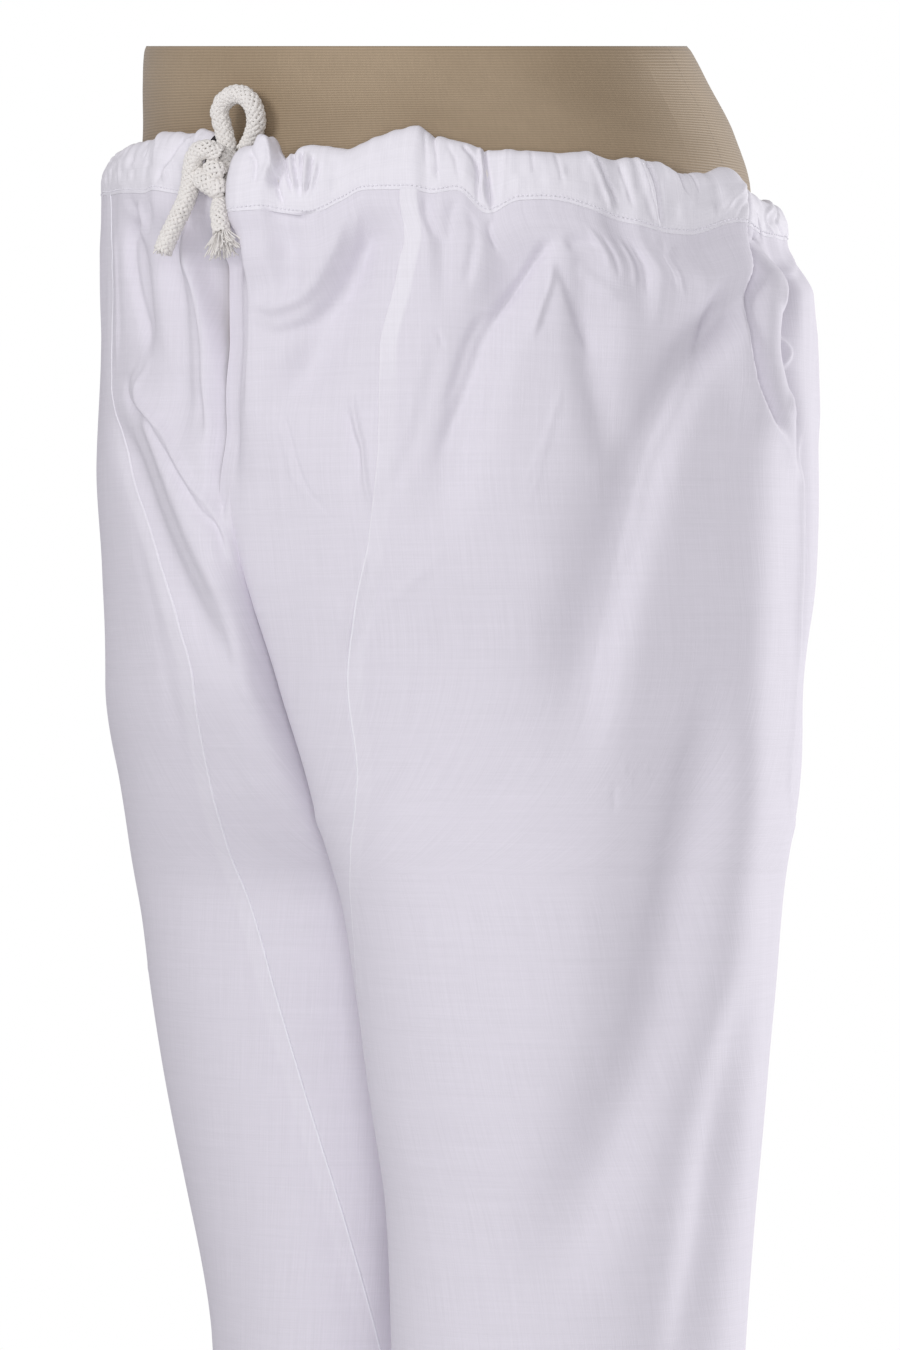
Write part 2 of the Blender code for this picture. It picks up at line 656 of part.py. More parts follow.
def wall(name, outer, inner):
    """A closed wall between two grids of points, rows by columns."""
    rows, columns = outer.shape[:2]
    points = np.concatenate([outer.reshape(-1, 3), inner.reshape(-1, 3)])
    size = rows * columns
    faces = []
    for i in range(rows - 1):
        for j in range(columns - 1):
            a, b = i * columns + j, i * columns + j + 1
            c, d = b + columns, a + columns
            faces += [(a, b, c, d), (a + size, d + size, c + size, b + size)]
    border = [j for j in range(columns)]
    border += [i * columns + columns - 1 for i in range(1, rows)]
    border += [(rows - 1) * columns + j for j in range(columns - 2, -1, -1)]
    border += [i * columns for i in range(rows - 2, 0, -1)]
    for a, b in zip(border, border[1:] + border[:1]):
        faces.append((b, a, a + size, b + size))
    return mesh_of(name, points, faces)


def kali_share(side, z, where):
    """Where a kali seam lies at one height, as s."""
    if z < KALI_TIP_Z:
        return 0.0 if where == "front" else 1.0
    heights = column(KALI_SEAMS, KALI_COLUMNS, "z")
    places = column(KALI_SEAMS, KALI_COLUMNS, side if where == "front" else "back")
    places = places if where == "front" else 1 - places
    shares = [full_share(side, place, at) for place, at in zip(places, heights)]
    left_out, total, length = whole(side, z)
    return (float(smooth(z, heights, shares)) * total - left_out) / length


ROWS = (
    0.075, 0.100, 0.1005, 0.190, 0.296, KALI_TIP_Z, 0.370, 0.436, 0.500, 0.560, 0.615, 0.660, 0.700, 0.714,
    0.740, 0.775, 0.810, 0.850, 0.890, 0.930, 0.965, 0.992, 1.014, 1.032, 1.045, 1.056,
    PANEL_TOP_Z,
)


def panel(side, name, front, back, columns, bottom):
    """One cut panel: rows of cloth from the lowest row that it reaches up to the casing."""
    outer, inner = [], []
    for z in [row for row in ROWS if row >= bottom - 1e-6]:
        _, length = section(side, z)
        closed = z <= CROTCH_Z
        start = front(z) + SEAM_GAP / 2 / length
        end = back(z) - SEAM_GAP / 2 / length
        s = start + (end - start) * columns
        points = surface(side, s, z)
        thick = HEM_CLOTH if z <= HEM_Z + HEM_TURN_UP + 1e-6 else CLOTH
        under = points + thick * inwards(side, s, z, closed)
        sign = 1 if side == "left" else -1
        under[:, 0] = sign * np.maximum(sign * under[:, 0], SEAM_GAP / 2)
        outer.append(points)
        inner.append(under)
    return wall(name, np.array(outer), np.array(inner))


def spread_out(marks, least):
    """The marks, with more of them halfway across the widest gaps."""
    while len(marks) < least:
        widest = np.argmax(np.diff(marks))
        marks = np.insert(marks, widest + 1, (marks[widest] + marks[widest + 1]) / 2)
    return marks


def top_columns(side, front, back, least):
    """Columns on the gathers' crests and pinches and between them, as shares of the panel."""
    marks = column(GATHERS[side], GATHER_COLUMNS, "s")
    marks = marks[(marks > front + 0.006) & (marks < back - 0.006)]
    marks = np.concatenate([[front], marks, [back]])
    return spread_out((marks - front) / (back - front), least)


def build_half(collection, side, cotton):
    def front(z):
        return kali_share(side, z, "front")

    def back(z):
        return kali_share(side, z, "back")

    top = PANEL_TOP_Z
    shares = top_columns(side, front(top), back(top), 34)
    place(collection, f"leg_{side}", panel(side, f"leg_{side}", front, back, shares, HEM_Z), cotton)
    shares = top_columns(side, 0, front(top), 8)
    mesh = panel(side, f"front_kali_{side}", lambda z: 0.0, front, shares, KALI_TIP_Z)
    place(collection, f"front_kali_{side}", mesh, cotton)
    shares = top_columns(side, back(top), 1, 8)
    mesh = panel(side, f"back_kali_{side}", back, lambda z: 1.0, shares, KALI_TIP_Z)
    place(collection, f"back_kali_{side}", mesh, cotton)


def casing(collection, side, cotton):
    """One half of the drawstring channel, open at both ends."""
    ring, length = casing_ring(side)
    start = CASING_SLIT[side] / length
    end = 1 - SEAM_GAP / 2 / length
    marks = column(GATHERS[side], GATHER_COLUMNS, "s")
    marks = np.concatenate([[start], marks[(marks > start + 0.01) & (marks < end - 0.01)], [end]])
    marks = spread_out(marks, 44)
    profile = np.array(CASING_PROFILE)
    loops = []
    for s in marks:
        centre, way = read(ring, s), outward(ring, s)
        wave = float(gather(side, s))
        bottom = float(stitch_height(side, s))
        out = profile[:, 0] + GATHER_OUT * (wave - 0.35) * profile[:, 2]
        up = profile[:, 1] * (float(waist_height(side, s)) - bottom) / CASING_HEIGHT
        loop = np.stack([out, up], axis=1)
        after, before = np.roll(loop, -1, axis=0), np.roll(loop, 1, axis=0)
        way_on = (after - before) / np.linalg.norm(after - before, axis=1, keepdims=True)
        inside = loop + CLOTH * np.stack([-way_on[:, 1], way_on[:, 0]], axis=1)
        for ring_points in (loop, inside):
            level = centre + ring_points[:, :1] * way
            loops.append(np.column_stack([level, bottom + ring_points[:, 1]]))
    loops = np.array(loops)
    if side == "right":
        loops = loops * [-1, 1, 1]
    count = len(profile)
    faces = []
    for i in range(len(marks) - 1):
        for k in range(count):
            n = (k + 1) % count
            a, b = 2 * i * count, (2 * i + 2) * count
            faces.append((a + k, a + n, b + n, b + k))
            faces.append((a + count + k, b + count + k, b + count + n, a + count + n))
    for a in (0, 2 * (len(marks) - 1) * count):
        for k in range(count):
            n = (k + 1) % count
            faces.append((a + k, a + n, a + count + n, a + count + k))
    mesh = mesh_of(f"casing_{side}", loops.reshape(-1, 3), faces)
    place(collection, f"casing_{side}", mesh, cotton)


def route(points, step):
    """Points a step apart along a smooth curve through the points of a route."""
    points = np.asarray(points, float)
    chords = np.concatenate([[0], np.cumsum(np.linalg.norm(np.diff(points, axis=0), axis=1))])
    slopes = np.gradient(points, chords, axis=0)
    fine = np.linspace(0, chords[-1], 400)
    i = np.clip(np.searchsorted(chords, fine, side="right") - 1, 0, len(chords) - 2)
    span = (chords[i + 1] - chords[i])[:, None]
    t = (fine - chords[i])[:, None] / span
    curve = (
        (2 * t**3 - 3 * t**2 + 1) * points[i]
        + (t**3 - 2 * t**2 + t) * span * slopes[i]
        + (3 * t**2 - 2 * t**3) * points[i + 1]
        + (t**3 - t**2) * span * slopes[i + 1]
    )
    along = np.concatenate([[0], np.cumsum(np.linalg.norm(np.diff(curve, axis=0), axis=1))])
    at = np.linspace(0, along[-1], max(3, round(along[-1] / step) + 1))
    return np.stack([np.interp(at, along, curve[:, k]) for k in range(3)], axis=1)


def cord(collection, name, points, radius, material, sides=2):
    """A round cord along a line of points, as a closed mesh."""
    curve = bpy.data.curves.new(name, "CURVE")
    curve.dimensions = "3D"
    curve.bevel_depth = radius
    curve.bevel_resolution = sides
    curve.use_fill_caps = True
    line = curve.splines.new("POLY")
    line.points.add(len(points) - 1)
    for spot, point in zip(line.points, points):
        spot.co = (*point, 1)
    drawn = bpy.data.objects.new(name + "_line", curve)
    collection.objects.link(drawn)
    bpy.context.view_layer.update()
    graph = bpy.context.evaluated_depsgraph_get()
    mesh = bpy.data.meshes.new_from_object(drawn.evaluated_get(graph))
    bpy.data.objects.remove(drawn, do_unlink=True)
    model = bmesh.new()
    model.from_mesh(mesh)
    bmesh.ops.remove_doubles(model, verts=model.verts, dist=0.00001)
    bmesh.ops.recalc_face_normals(model, faces=model.faces)
    model.to_mesh(mesh)
    model.free()
    mesh.shade_smooth()
    mesh.set_sharp_from_angle(angle=math.radians(60))
    return place(collection, name, mesh, material)


def combine(obj, operation, others):
    for number, other in enumerate(others):
        step = obj.modifiers.new(f"{operation.lower()}_{number}", "BOOLEAN")
        step.operation = operation
        step.solver = "EXACT"
        step.object = other


def casing_middle(side, s):
    """The middle of the drawstring channel at s."""
    ring, _ = casing_ring(side)
    level = read(ring, s)
    share = CHANNEL_UP / CASING_HEIGHT
    height = (1 - share) * stitch_height(side, s) + share * waist_height(side, s)
    point = np.column_stack([level, height])
    return point * [-1, 1, 1] if side == "right" else point


def fray(collection, head_points, cotton_cord):
    """The unravelled end: a short whipped head with loose strands fused into it."""
    head_points = np.asarray(head_points)
    head = cord(collection, "drawstring_fray", head_points, CORD_RADIUS * 0.92, cotton_cord)
    down = (head_points[-1] - head_points[0]) / np.linalg.norm(head_points[-1] - head_points[0])
    side_way = np.cross(down, [0, 1, 0])
    side_way /= np.linalg.norm(side_way)
    front_way = np.cross(side_way, down)
    model = bmesh.new()
    turn = math.pi * (3 - math.sqrt(5))
    for k in range(FRAY_STRANDS):
        share = math.sqrt((k + 0.5) / FRAY_STRANDS)
        way = math.cos(k * turn) * side_way + 0.75 * math.sin(k * turn) * front_way
        root = head_points[0] + 0.5 * (head_points[-1] - head_points[0]) + way * share * 0.0040
        length = FRAY_LENGTH * (0.82 + 0.18 * math.cos(2.1 * k))
        ends = [
            root + down * (length * t) + way * share * FRAY_FLARE * t**1.6 for t in (0, 0.5, 1.0)
        ]
        rings = []
        for end, thick in zip(ends, (0.00060, 0.00075, 0.00050)):
            ring = []
            for corner in range(3):
                angle = 2 * math.pi * corner / 3 + k
                spot = end + thick * (math.cos(angle) * side_way + math.sin(angle) * front_way)
                ring.append(model.verts.new(spot))
            rings.append(ring)
        for low, high in zip(rings, rings[1:]):
            for corner in range(3):
                after = (corner + 1) % 3
                model.faces.new((low[corner], low[after], high[after], high[corner]))
        model.faces.new(rings[0][::-1])
        model.faces.new(rings[-1])
    bmesh.ops.recalc_face_normals(model, faces=model.faces)
    mesh = bpy.data.meshes.new("strands")
    model.to_mesh(mesh)
    model.free()
    return head, mesh


def drawstring(collection, cutters, cotton_cord):
    """The cord in the channel, the knot in the slit, the loop and the two ends."""

    def hidden(name, points, radius):
        tool = cord(cutters, name, points, radius, cotton_cord, 3)
        tool.hide_render = True
        tool.display_type = "WIRE"
        return tool

    bands = [route(KNOT_BANDS[name], 0.006) for name in KNOT_BANDS]
    thick = [KNOT_RADIUS[name] for name in KNOT_BANDS]
    knot = cord(collection, "drawstring_knot", bands[0], thick[0], cotton_cord, 3)
    combine(knot, "UNION", [hidden(f"band_{k}", bands[k], thick[k]) for k in (1, 2)])
    around = [hidden(f"clear_{k}", bands[k], thick[k] + SEAM_GAP) for k in range(3)]

    crowd = np.linspace(0, 1, 28) ** 1.5
    left = casing_middle("left", CHANNEL_ENDS["left"] + (1 - CHANNEL_ENDS["left"]) * crowd)
    right = casing_middle("right", CHANNEL_ENDS["right"] + (1 - CHANNEL_ENDS["right"]) * crowd)
    right = right[-2::-1]
    ring = np.concatenate([[KNOT_BANDS["core"][1]], left, right, [KNOT_BANDS["core"][1]]])
    held = cord(collection, "drawstring_in_casing", ring, SQUEEZED_RADIUS, cotton_cord)
    combine(held, "DIFFERENCE", around)
    for name, points in CORD_ROUTES.items():
        piece = cord(collection, name, route(points, 0.0065), CORD_RADIUS, cotton_cord)
        combine(piece, "DIFFERENCE", around)

    head, mesh = fray(collection, FRAY_HEAD, cotton_cord)
    strands = place(cutters, "strands", mesh, cotton_cord)
    strands.hide_render = True
    strands.display_type = "WIRE"
    combine(head, "UNION", [strands])


def form_shape(segments):
    """The dress form, a closed solid through level ellipses whose upper end leans."""
    turn = np.linspace(0, 2 * math.pi, segments, endpoint=False)
    top = FORM_SECTIONS[-1][0]
    points, faces = [], []
    for row in FORM_SECTIONS:
        value = dict(zip(FORM_COLUMNS, row))
        x = value["wide"] * np.cos(turn)
        y = value["centre_y"] + value["deep"] * np.sin(turn)
        share = float(ease((value["z"] - FORM_LEAN_Z) / (top - FORM_LEAN_Z)))
        z = value["z"] + share * (FORM_LEAN[0] * x + FORM_LEAN[1] * y)
        points += list(zip(x, y, z))
    for i in range(len(FORM_SECTIONS) - 1):
        for k in range(segments):
            n = (k + 1) % segments
            low, high = i * segments, (i + 1) * segments
            faces.append((low + k, low + n, high + n, high + k))
    faces.append(tuple(range(segments - 1, -1, -1)))
    faces.append(tuple(range(len(points) - segments, len(points))))
    return mesh_of("dress_form", points, faces, sharp=60)


def round_bar(collection, name, radius, low, high, centre, material, segments=24, bevel=0.0):
    mesh = bpy.data.meshes.new(name)
    model = bmesh.new()
    bmesh.ops.create_cone(
        model, cap_ends=True, segments=segments, radius1=radius, radius2=radius, depth=high - low
    )
    model.to_mesh(mesh)
    model.free()
    mesh.shade_smooth()
    mesh.set_sharp_from_angle(angle=math.radians(40))
    obj = place(collection, name, mesh, material)
    obj.location = (centre[0], centre[1], (high + low) / 2)
    if bevel:
        edge = obj.modifiers.new("edge", "BEVEL")
        edge.width = bevel
        edge.segments = 2
        edge.limit_method = "ANGLE"
    return obj


def main():
    for old in list(bpy.data.objects):
        bpy.data.objects.remove(old, do_unlink=True)
    collection = bpy.data.collections.new("aligarhi_pajama")
    bpy.context.scene.collection.children.link(collection)
    cotton = finish("white_cotton", (0.80, 0.79, 0.84), 0.85)
    cover = finish("tan_form_cover", (0.36, 0.28, 0.19), 0.75)
    steel = finish("stand_metal", (0.55, 0.55, 0.56), 0.35, 1.0)
    cotton_cord = finish("cotton_cord", (0.66, 0.63, 0.60), 0.9)
    cutters = bpy.data.collections.new("cutters")
    bpy.context.scene.collection.children.link(cutters)
    for side in SECTIONS:
        build_half(collection, side, cotton)
        casing(collection, side, cotton)
    drawstring(collection, cutters, cotton_cord)
    place(collection, "dress_form", form_shape(40), cover)
    collar_top = FORM_SECTIONS[0][0] - SEAM_GAP
    collar_low = collar_top - COLLAR_HEIGHT
    pole = (POLE_X, 0)
    round_bar(collection, "stand_collar", COLLAR_RADIUS, collar_low, collar_top, pole, steel, 24, 0.002)
    pole_low, pole_top = BASE_THICK + SEAM_GAP, collar_low - SEAM_GAP
    round_bar(collection, "stand_pole", POLE_RADIUS, pole_low, pole_top, pole, steel, 20)
    round_bar(collection, "stand_base", BASE_RADIUS, 0.0, BASE_THICK, (0, 0), steel, 48, 0.003)


main()
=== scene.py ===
"""The looks of a white cotton Aligarhi pajama on a limbless dress form. Metres, +Z up.

The cloth is worked out from the same sections, seams, gathers and folds as the model's solids,
then given finer folds, wrinkles, stitches and weave. A place on a half of the garment is (s, z):
s goes from 0 at the centre front, round the outside, to 1 at the centre back, and z is the height
before the waist's droop. Rows of numbers for shapes are in thousandths: 5 is 5 mm, or 0.005 of s.
"""

import functools
import math

import bpy
import numpy as np
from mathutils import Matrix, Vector


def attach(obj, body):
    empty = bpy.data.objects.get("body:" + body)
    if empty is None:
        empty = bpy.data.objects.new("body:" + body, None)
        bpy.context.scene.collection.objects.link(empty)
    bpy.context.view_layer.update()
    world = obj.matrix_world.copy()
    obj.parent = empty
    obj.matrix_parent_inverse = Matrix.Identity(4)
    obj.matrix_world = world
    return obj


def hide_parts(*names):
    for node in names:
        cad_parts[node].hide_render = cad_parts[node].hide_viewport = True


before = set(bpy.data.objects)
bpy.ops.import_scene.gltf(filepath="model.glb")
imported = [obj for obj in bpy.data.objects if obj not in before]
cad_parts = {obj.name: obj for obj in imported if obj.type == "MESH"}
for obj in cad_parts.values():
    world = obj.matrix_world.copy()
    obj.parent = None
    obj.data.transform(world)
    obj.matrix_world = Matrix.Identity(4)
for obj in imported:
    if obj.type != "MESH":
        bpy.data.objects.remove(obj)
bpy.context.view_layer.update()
SIDES = ("left", "right")

# The camera: level, turned to the wearer's left, as in the photo
VIEW_TURN = math.radians(44)
VIEW_DISTANCE = 3.5
VIEW_HEIGHT = 0.8034
VIEW_ASIDE = -0.0011
VIEW_SPAN = 0.7358
SENSOR = 36.0
TO_CAMERA = Vector((math.sin(VIEW_TURN), -math.cos(VIEW_TURN), 0))
TO_RIGHT = Vector((math.cos(VIEW_TURN), math.sin(VIEW_TURN), 0))


def add_object(name, data):
    obj = bpy.data.objects.new(name, data)
    bpy.context.scene.collection.objects.link(obj)
    return obj


def make_camera():
    data = bpy.data.cameras.new("camera")
    data.sensor_fit = "VERTICAL"
    data.sensor_height = SENSOR
    data.lens = SENSOR * VIEW_DISTANCE / VIEW_SPAN
    obj = add_object("camera", data)
    obj.location = TO_CAMERA * VIEW_DISTANCE + TO_RIGHT * VIEW_ASIDE + Vector((0, 0, VIEW_HEIGHT))
    obj.rotation_euler = (math.pi / 2, 0, VIEW_TURN)
    bpy.context.scene.camera = obj


make_camera()


def table(names, rows):
    """The columns of a table by name. Its rows are in thousandths."""
    return dict(zip(names.split(), np.array(rows, float).T / 1000))


def places(numbers, width):
    """Points with width coordinates each, from one row of thousandths."""
    return np.reshape(numbers, (-1, width)) / 1000


# Heights above the floor
HEM_Z = 0.075
WAIST_Z = 1.095
CASING_HEIGHT = 0.030
CASING_GAP = 0.0006
PANEL_TOP_Z = WAIST_Z - CASING_HEIGHT - CASING_GAP
RISE_START_Z = 0.930
CROTCH_Z = 0.700
KALI_TIP_Z = 0.300
DROP_FADE_Z = 0.900
SEAM_GAP = 0.0003

# Level sections of each half. x and y are the centre, x outwards from the middle plane. yaw, in
# degrees, turns the long axis from sideways towards the back. corner is the rounding where the
# section turns onto the middle plane.
SECTION_NAMES = ("x", "y", "long", "short", "corner")
SECTIONS = table("z yaw " + " ".join(f"{side}_{name}" for side in SIDES for name in SECTION_NAMES), (
    (1095, 0, 0, -5, 208, 168, 4, 0, -5, 208, 168, 4),
    (1040, 0, 0, 0.5, 211.5, 170.5, 4, 0, 0.5, 211.5, 170.5, 4),
    (980, 0, 0, 1.2, 214.5, 172, 4, 0, 1.2, 214.5, 172, 4),
    (920, 0, 1, 0, 215.5, 172.5, 5, 1, 0, 215.5, 172.5, 5),
    (860, 6, 12, -1, 201, 163, 8, 12, 0, 203, 170, 7),
    (800, 16, 35, -1, 171.5, 142, 14, 35, 2, 172, 164, 9),
    (744, 28, 63.5, -2, 144.5, 122, 18, 62, 4, 147, 142, 12),
    (681, 38, 88.5, -8, 119.5, 109, 16, 90, 6, 117, 114.5, 14),
    (626, 42, 94.4, -10.6, 111.6, 103, 14, 93, 7, 112, 106, 14),
    (572, 44, 97.2, -11.9, 105.7, 96.5, 14, 95, 7.5, 107.5, 96, 14),
    (517, 44, 97.8, -10.8, 99.6, 90, 14, 95, 7.5, 104.5, 85.4, 14),
    (436, 44, 97.1, -11.5, 95.2, 81, 14, 96, 7.5, 100, 71.4, 14),
    (300, 44, 95, -11, 89, 71, 14, 96, 7, 93, 65, 14), (150, 44, 93, -9, 82, 63, 14, 94, 6, 84, 60, 14),
    (75, 44, 92, -8, 79, 60, 14, 92, 5, 80, 58.5, 14),
))

# How far the waist hangs below its highest point, along each half from front to back
WAIST_DROP = table("s left right", (
    (0, 14, 13), (100, 10, 9), (200, 10, 6), (350, 24, 7), (500, 29, 10), (620, 36, 16), (800, 36, 25),
    (1000, 32, 32),
))

# The kali seams, as s. The back ones are measured from the back edge.
KALI_SEAMS = table("z left right back", (
    (1065, 193, 225, 190), (1010, 173, 205, 185), (976, 160, 205, 180), (925, 160, 172, 170),
    (875, 148, 120, 150), (832, 128, 95, 135), (800, 121, 97, 130), (748, 152, 137, 145),
    (709, 174, 172, 172), (683, 180, 183, 180), (616, 158, 158, 158), (517, 118, 118, 118),
    (440, 80, 80, 80), (300, 6, 6, 6),
))

# The casing: a drawstring channel. Its profile runs from the lower edge up the outside, as the way
# out, the way up and how much of the gathers' wave it takes.
CASING_RING = (0.1945, 0.1545, -0.0090)
CASING_SLIT = {"left": 0.0205, "right": 0.0130}
CASING_JOIN = 0.0092
JOIN_BLEND = 0.030
CASING_PROFILE = np.array((
    (9.2, 0, 1000), (9.6, 7, 1000), (9, 14.5, 1000), (7.4, 21.5, 900), (4.8, 27.5, 700), (1, 30, 500),
    (-3.2, 28.5, 300), (-6.2, 23, 100), (-7.2, 14.5, 0), (-5, 5.6, 0), (3, 0, 200),
)) / 1000

# The wearer's left half stands forward beside the knot, over a deep crease down the centre front
FLAP_OUT = {"left": 0.0110, "right": 0.0}
FLAP_EDGE = 0.0160
FLAP_CREST = 0.0225
FLAP_REACH = 0.080
FLAP_LOW_Z = 1.010
VALLEY_DEPTH = 0.010
VALLEY_WIDTH = 0.013
VALLEY_LOW_Z = 0.940
VALLEY_FADE = 0.050

# Gathers: a row for each crest or pinch of the waistband, at s along its half. top and stitch lift
# the waistband's two edges there, and out is 1 on a full crest and 0 in a deep pinch.
LEFT_GATHERS = (
    (0, -3, -6, 500), (40, -1, -6.5, 750), (60, -0.5, -7, 900), (78, -8.5, -9.5, 150),
    (100, -5.5, -11.5, 750), (132, -8.8, -4.5, 250), (160, -3.5, 0.8, 700), (205, 2.8, 0.2, 1000),
    (220, -2, -1, 350), (246, -2.6, 2.2, 600), (270, -4.2, -6.6, 0), (300, -0.8, 3.6, 750),
    (335, 1.4, 7.2, 1000), (363, 3, 4.6, 750), (390, 0.4, 0, 250), (408, 2.6, -1.6, 800),
    (440, 0.8, -4.2, 500), (462, -2.8, -3.8, 200), (510, -1.4, 5.6, 900), (545, -1.4, 6.8, 450),
    (570, -3.5, 5.8, 50), (602, -5, 6.4, 850), (660, -5.2, 7.6, 550), (700, -3.4, 3, 150),
    (742, 1, -2.8, 900), (782, -2.2, 3.4, 100), (826, 2, -2, 800), (862, -1.2, 2.6, 250),
    (908, 1.4, -3.6, 950), (950, -2, 1.4, 100), (1000, 0, 0, 600),
)
RIGHT_GATHERS = (
    (0, -1, 2, 400), (40, 8.6, 5.2, 950), (66, 5.8, 5, 350), (100, 6.8, 6.8, 1000),
    (125, 3.8, 5.2, 600), (170, 1.2, 5.4, 850), (220, -0.8, 6, 500), (268, -2.1, 7.8, 700),
    (312, -4, 3, 50), (360, 1.6, -1.8, 900), (402, -2.4, 3.2, 150), (436, 1, 4, 750),
    (482, -1.4, -4, 300), (530, 2.2, 0.8, 1000), (574, -3, -5, 0), (618, 0.6, 4.4, 800),
    (664, -1.8, 1, 300), (702, 1.6, -3, 900), (752, -2.6, 3.6, 50), (806, 1.8, 1.2, 850),
    (850, -1, -3.2, 200), (896, 1.4, 2.6, 900), (944, -2.2, -1.8, 150), (1000, 0, 0, 600),
)
GATHERS = {
    side: table("s top stitch out", rows) for side, rows in zip(SIDES, (LEFT_GATHERS, RIGHT_GATHERS))
}
GATHER_OUT = 0.0042
GATHER_MEAN = 0.35
GATHER_BELOW = 0.0100
GATHER_BELOW_MEAN = 0.4
GATHER_JOINED = 0.55
GATHER_LENGTH = 0.085
STITCH_FADE = 0.070
MIDDLE_FADE = 0.010

# Large folds. Each runs down one half through three places (s, z), then come its depth outwards
# and its half widths towards the front and towards the back.
LEFT_FOLDS = (
    (70, 1062, 52, 1015, 30, 900, 6.5, 25, 28), (180, 1064, 130, 1020, 60, 930, -8.4, 12, 20),
    (323, 1062, 262, 995, 212, 860, -8.4, 18, 12), (338, 1062, 342, 1000, 362, 900, -5.2, 10, 14),
    (537, 1064, 420, 960, 350, 740, -12.3, 24, 12), (505, 1020, 507, 800, 570, 500, 6.5, 24, 24),
    (475, 830, 462, 640, 345, 440, -11.1, 28, 22), (550, 660, 530, 545, 505, 400, -6.5, 16, 18),
    (555, 1064, 520, 990, 572, 900, 7.8, 14, 8), (590, 1064, 558, 985, 590, 900, -9.1, 9, 12),
    (720, 1062, 755, 970, 800, 830, -9.7, 16, 20), (800, 1062, 835, 980, 850, 870, 5.9, 20, 20),
    (900, 1062, 925, 960, 945, 850, -6.5, 16, 16), (700, 830, 775, 720, 850, 590, -9.7, 20, 24),
    (780, 520, 720, 380, 650, 200, -7.2, 20, 18), (240, 430, 300, 290, 380, 140, -6.5, 18, 20),
)
RIGHT_FOLDS = (
    (18, 1064, 14, 1000, 10, 860, -15.6, 8, 10), (50, 1050, 45, 990, 38, 930, 5.2, 12, 12),
    (110, 1064, 66, 1000, 55, 915, -8.4, 12, 14), (168, 1064, 130, 1020, 120, 970, -5.9, 10, 14),
    (150, 975, 70, 910, 12, 800, 5.9, 14, 10), (190, 950, 110, 885, 50, 790, -7.2, 14, 16),
    (480, 1062, 400, 950, 350, 760, -10.4, 22, 14), (520, 1000, 520, 800, 560, 540, 5.9, 26, 22),
    (440, 760, 460, 600, 400, 400, -8.4, 26, 20), (660, 1062, 690, 975, 745, 830, -9.1, 18, 18),
    (770, 1062, 790, 990, 820, 890, 5.2, 18, 20), (870, 1062, 900, 970, 930, 860, -7.2, 16, 16),
    (650, 800, 740, 700, 830, 560, -9.1, 22, 22), (800, 470, 740, 340, 700, 180, -6.5, 18, 18),
    (300, 400, 330, 270, 420, 130, -6.5, 18, 20),
)
FOLDS = {"left": np.array(LEFT_FOLDS) / 1000, "right": np.array(RIGHT_FOLDS) / 1000}
FOLD_TOP_FADE = 0.25
FOLD_TOP_LEFT = 0.15
FOLD_LOW_FADE = 0.3

SAMPLES = 1401
ELLIPSE_POINTS = 721
CURVE_POINTS = 400
OUTWARD_STEP = 0.004


def cubic(t, span, values, slopes, i):
    """The cubic from value i to the next, with their slopes, at the share t of the span."""
    return (
        (2 * t**3 - 3 * t**2 + 1) * values[i]
        + (t**3 - 2 * t**2 + t) * span * slopes[i]
        + (3 * t**2 - 2 * t**3) * values[i + 1]
        + (t**3 - t**2) * span * slopes[i + 1]
    )


def smooth(at, xs, ys):
    """A curve through the points xs, ys, read at the places at, that doesn't overshoot them."""
    order = np.argsort(xs)
    xs, ys = np.asarray(xs, float)[order], np.asarray(ys, float)[order]
    at = np.clip(at, xs[0], xs[-1])
    step = np.diff(xs)
    slope = np.diff(ys) / step
    product, total = slope[:-1] * slope[1:], slope[:-1] + slope[1:]
    tangent = np.zeros(len(xs))
    tangent[1:-1] = np.where(product > 0, 2 * product / np.where(product > 0, total, 1), 0)
    tangent[0], tangent[-1] = slope[0], slope[-1]
    i = np.clip(np.searchsorted(xs, at, side="right") - 1, 0, len(xs) - 2)
    return cubic((at - xs[i]) / step[i], step[i], ys, tangent, i)


def ease(x):
    """0 below 0, 1 above 1, and a soft step between them."""
    x = np.clip(x, 0, 1)
    return x * x * (3 - 2 * x)


def hump(away, width):
    """1 in the middle, falling off softly to both sides."""
    return np.exp(-((away / width) ** 2))


def unit(ways):
    """The same directions with a length of 1."""
    return ways / np.maximum(np.linalg.norm(ways, axis=-1, keepdims=True), 1e-12)


def mirrored(side, values):
    """Points or directions of a half on their own side of the middle."""
    return values * [-1, 1, 1][: values.shape[-1]] if side == "right" else values


def running(points):
    """How far along a line each of its points lies."""
    return np.concatenate([[0], np.cumsum(np.linalg.norm(np.diff(points, axis=0), axis=1))])


def between(at, along, points):
    """Points of a line at the places at, where its own points lie at along."""
    return np.stack([np.interp(at, along, values) for values in points.T], axis=-1)


def even(points, count):
    """Points spaced evenly along a line of points, and its length."""
    along = running(points)
    return between(np.linspace(0, along[-1], count), along, points), along[-1]


def evened(line, weights, closed=False):
    """A line with its bends evened out by weights. An open one keeps its two ends."""
    reach = len(weights) // 2
    if closed:
        padded = np.concatenate([line[-reach - 1 : -1], line, line[1 : reach + 1]])
    else:
        padded = np.pad(line, ((reach, reach), (0, 0)), mode="reflect", reflect_type="odd")
    return np.stack([np.convolve(values, weights, mode="valid") for values in padded.T], axis=1)


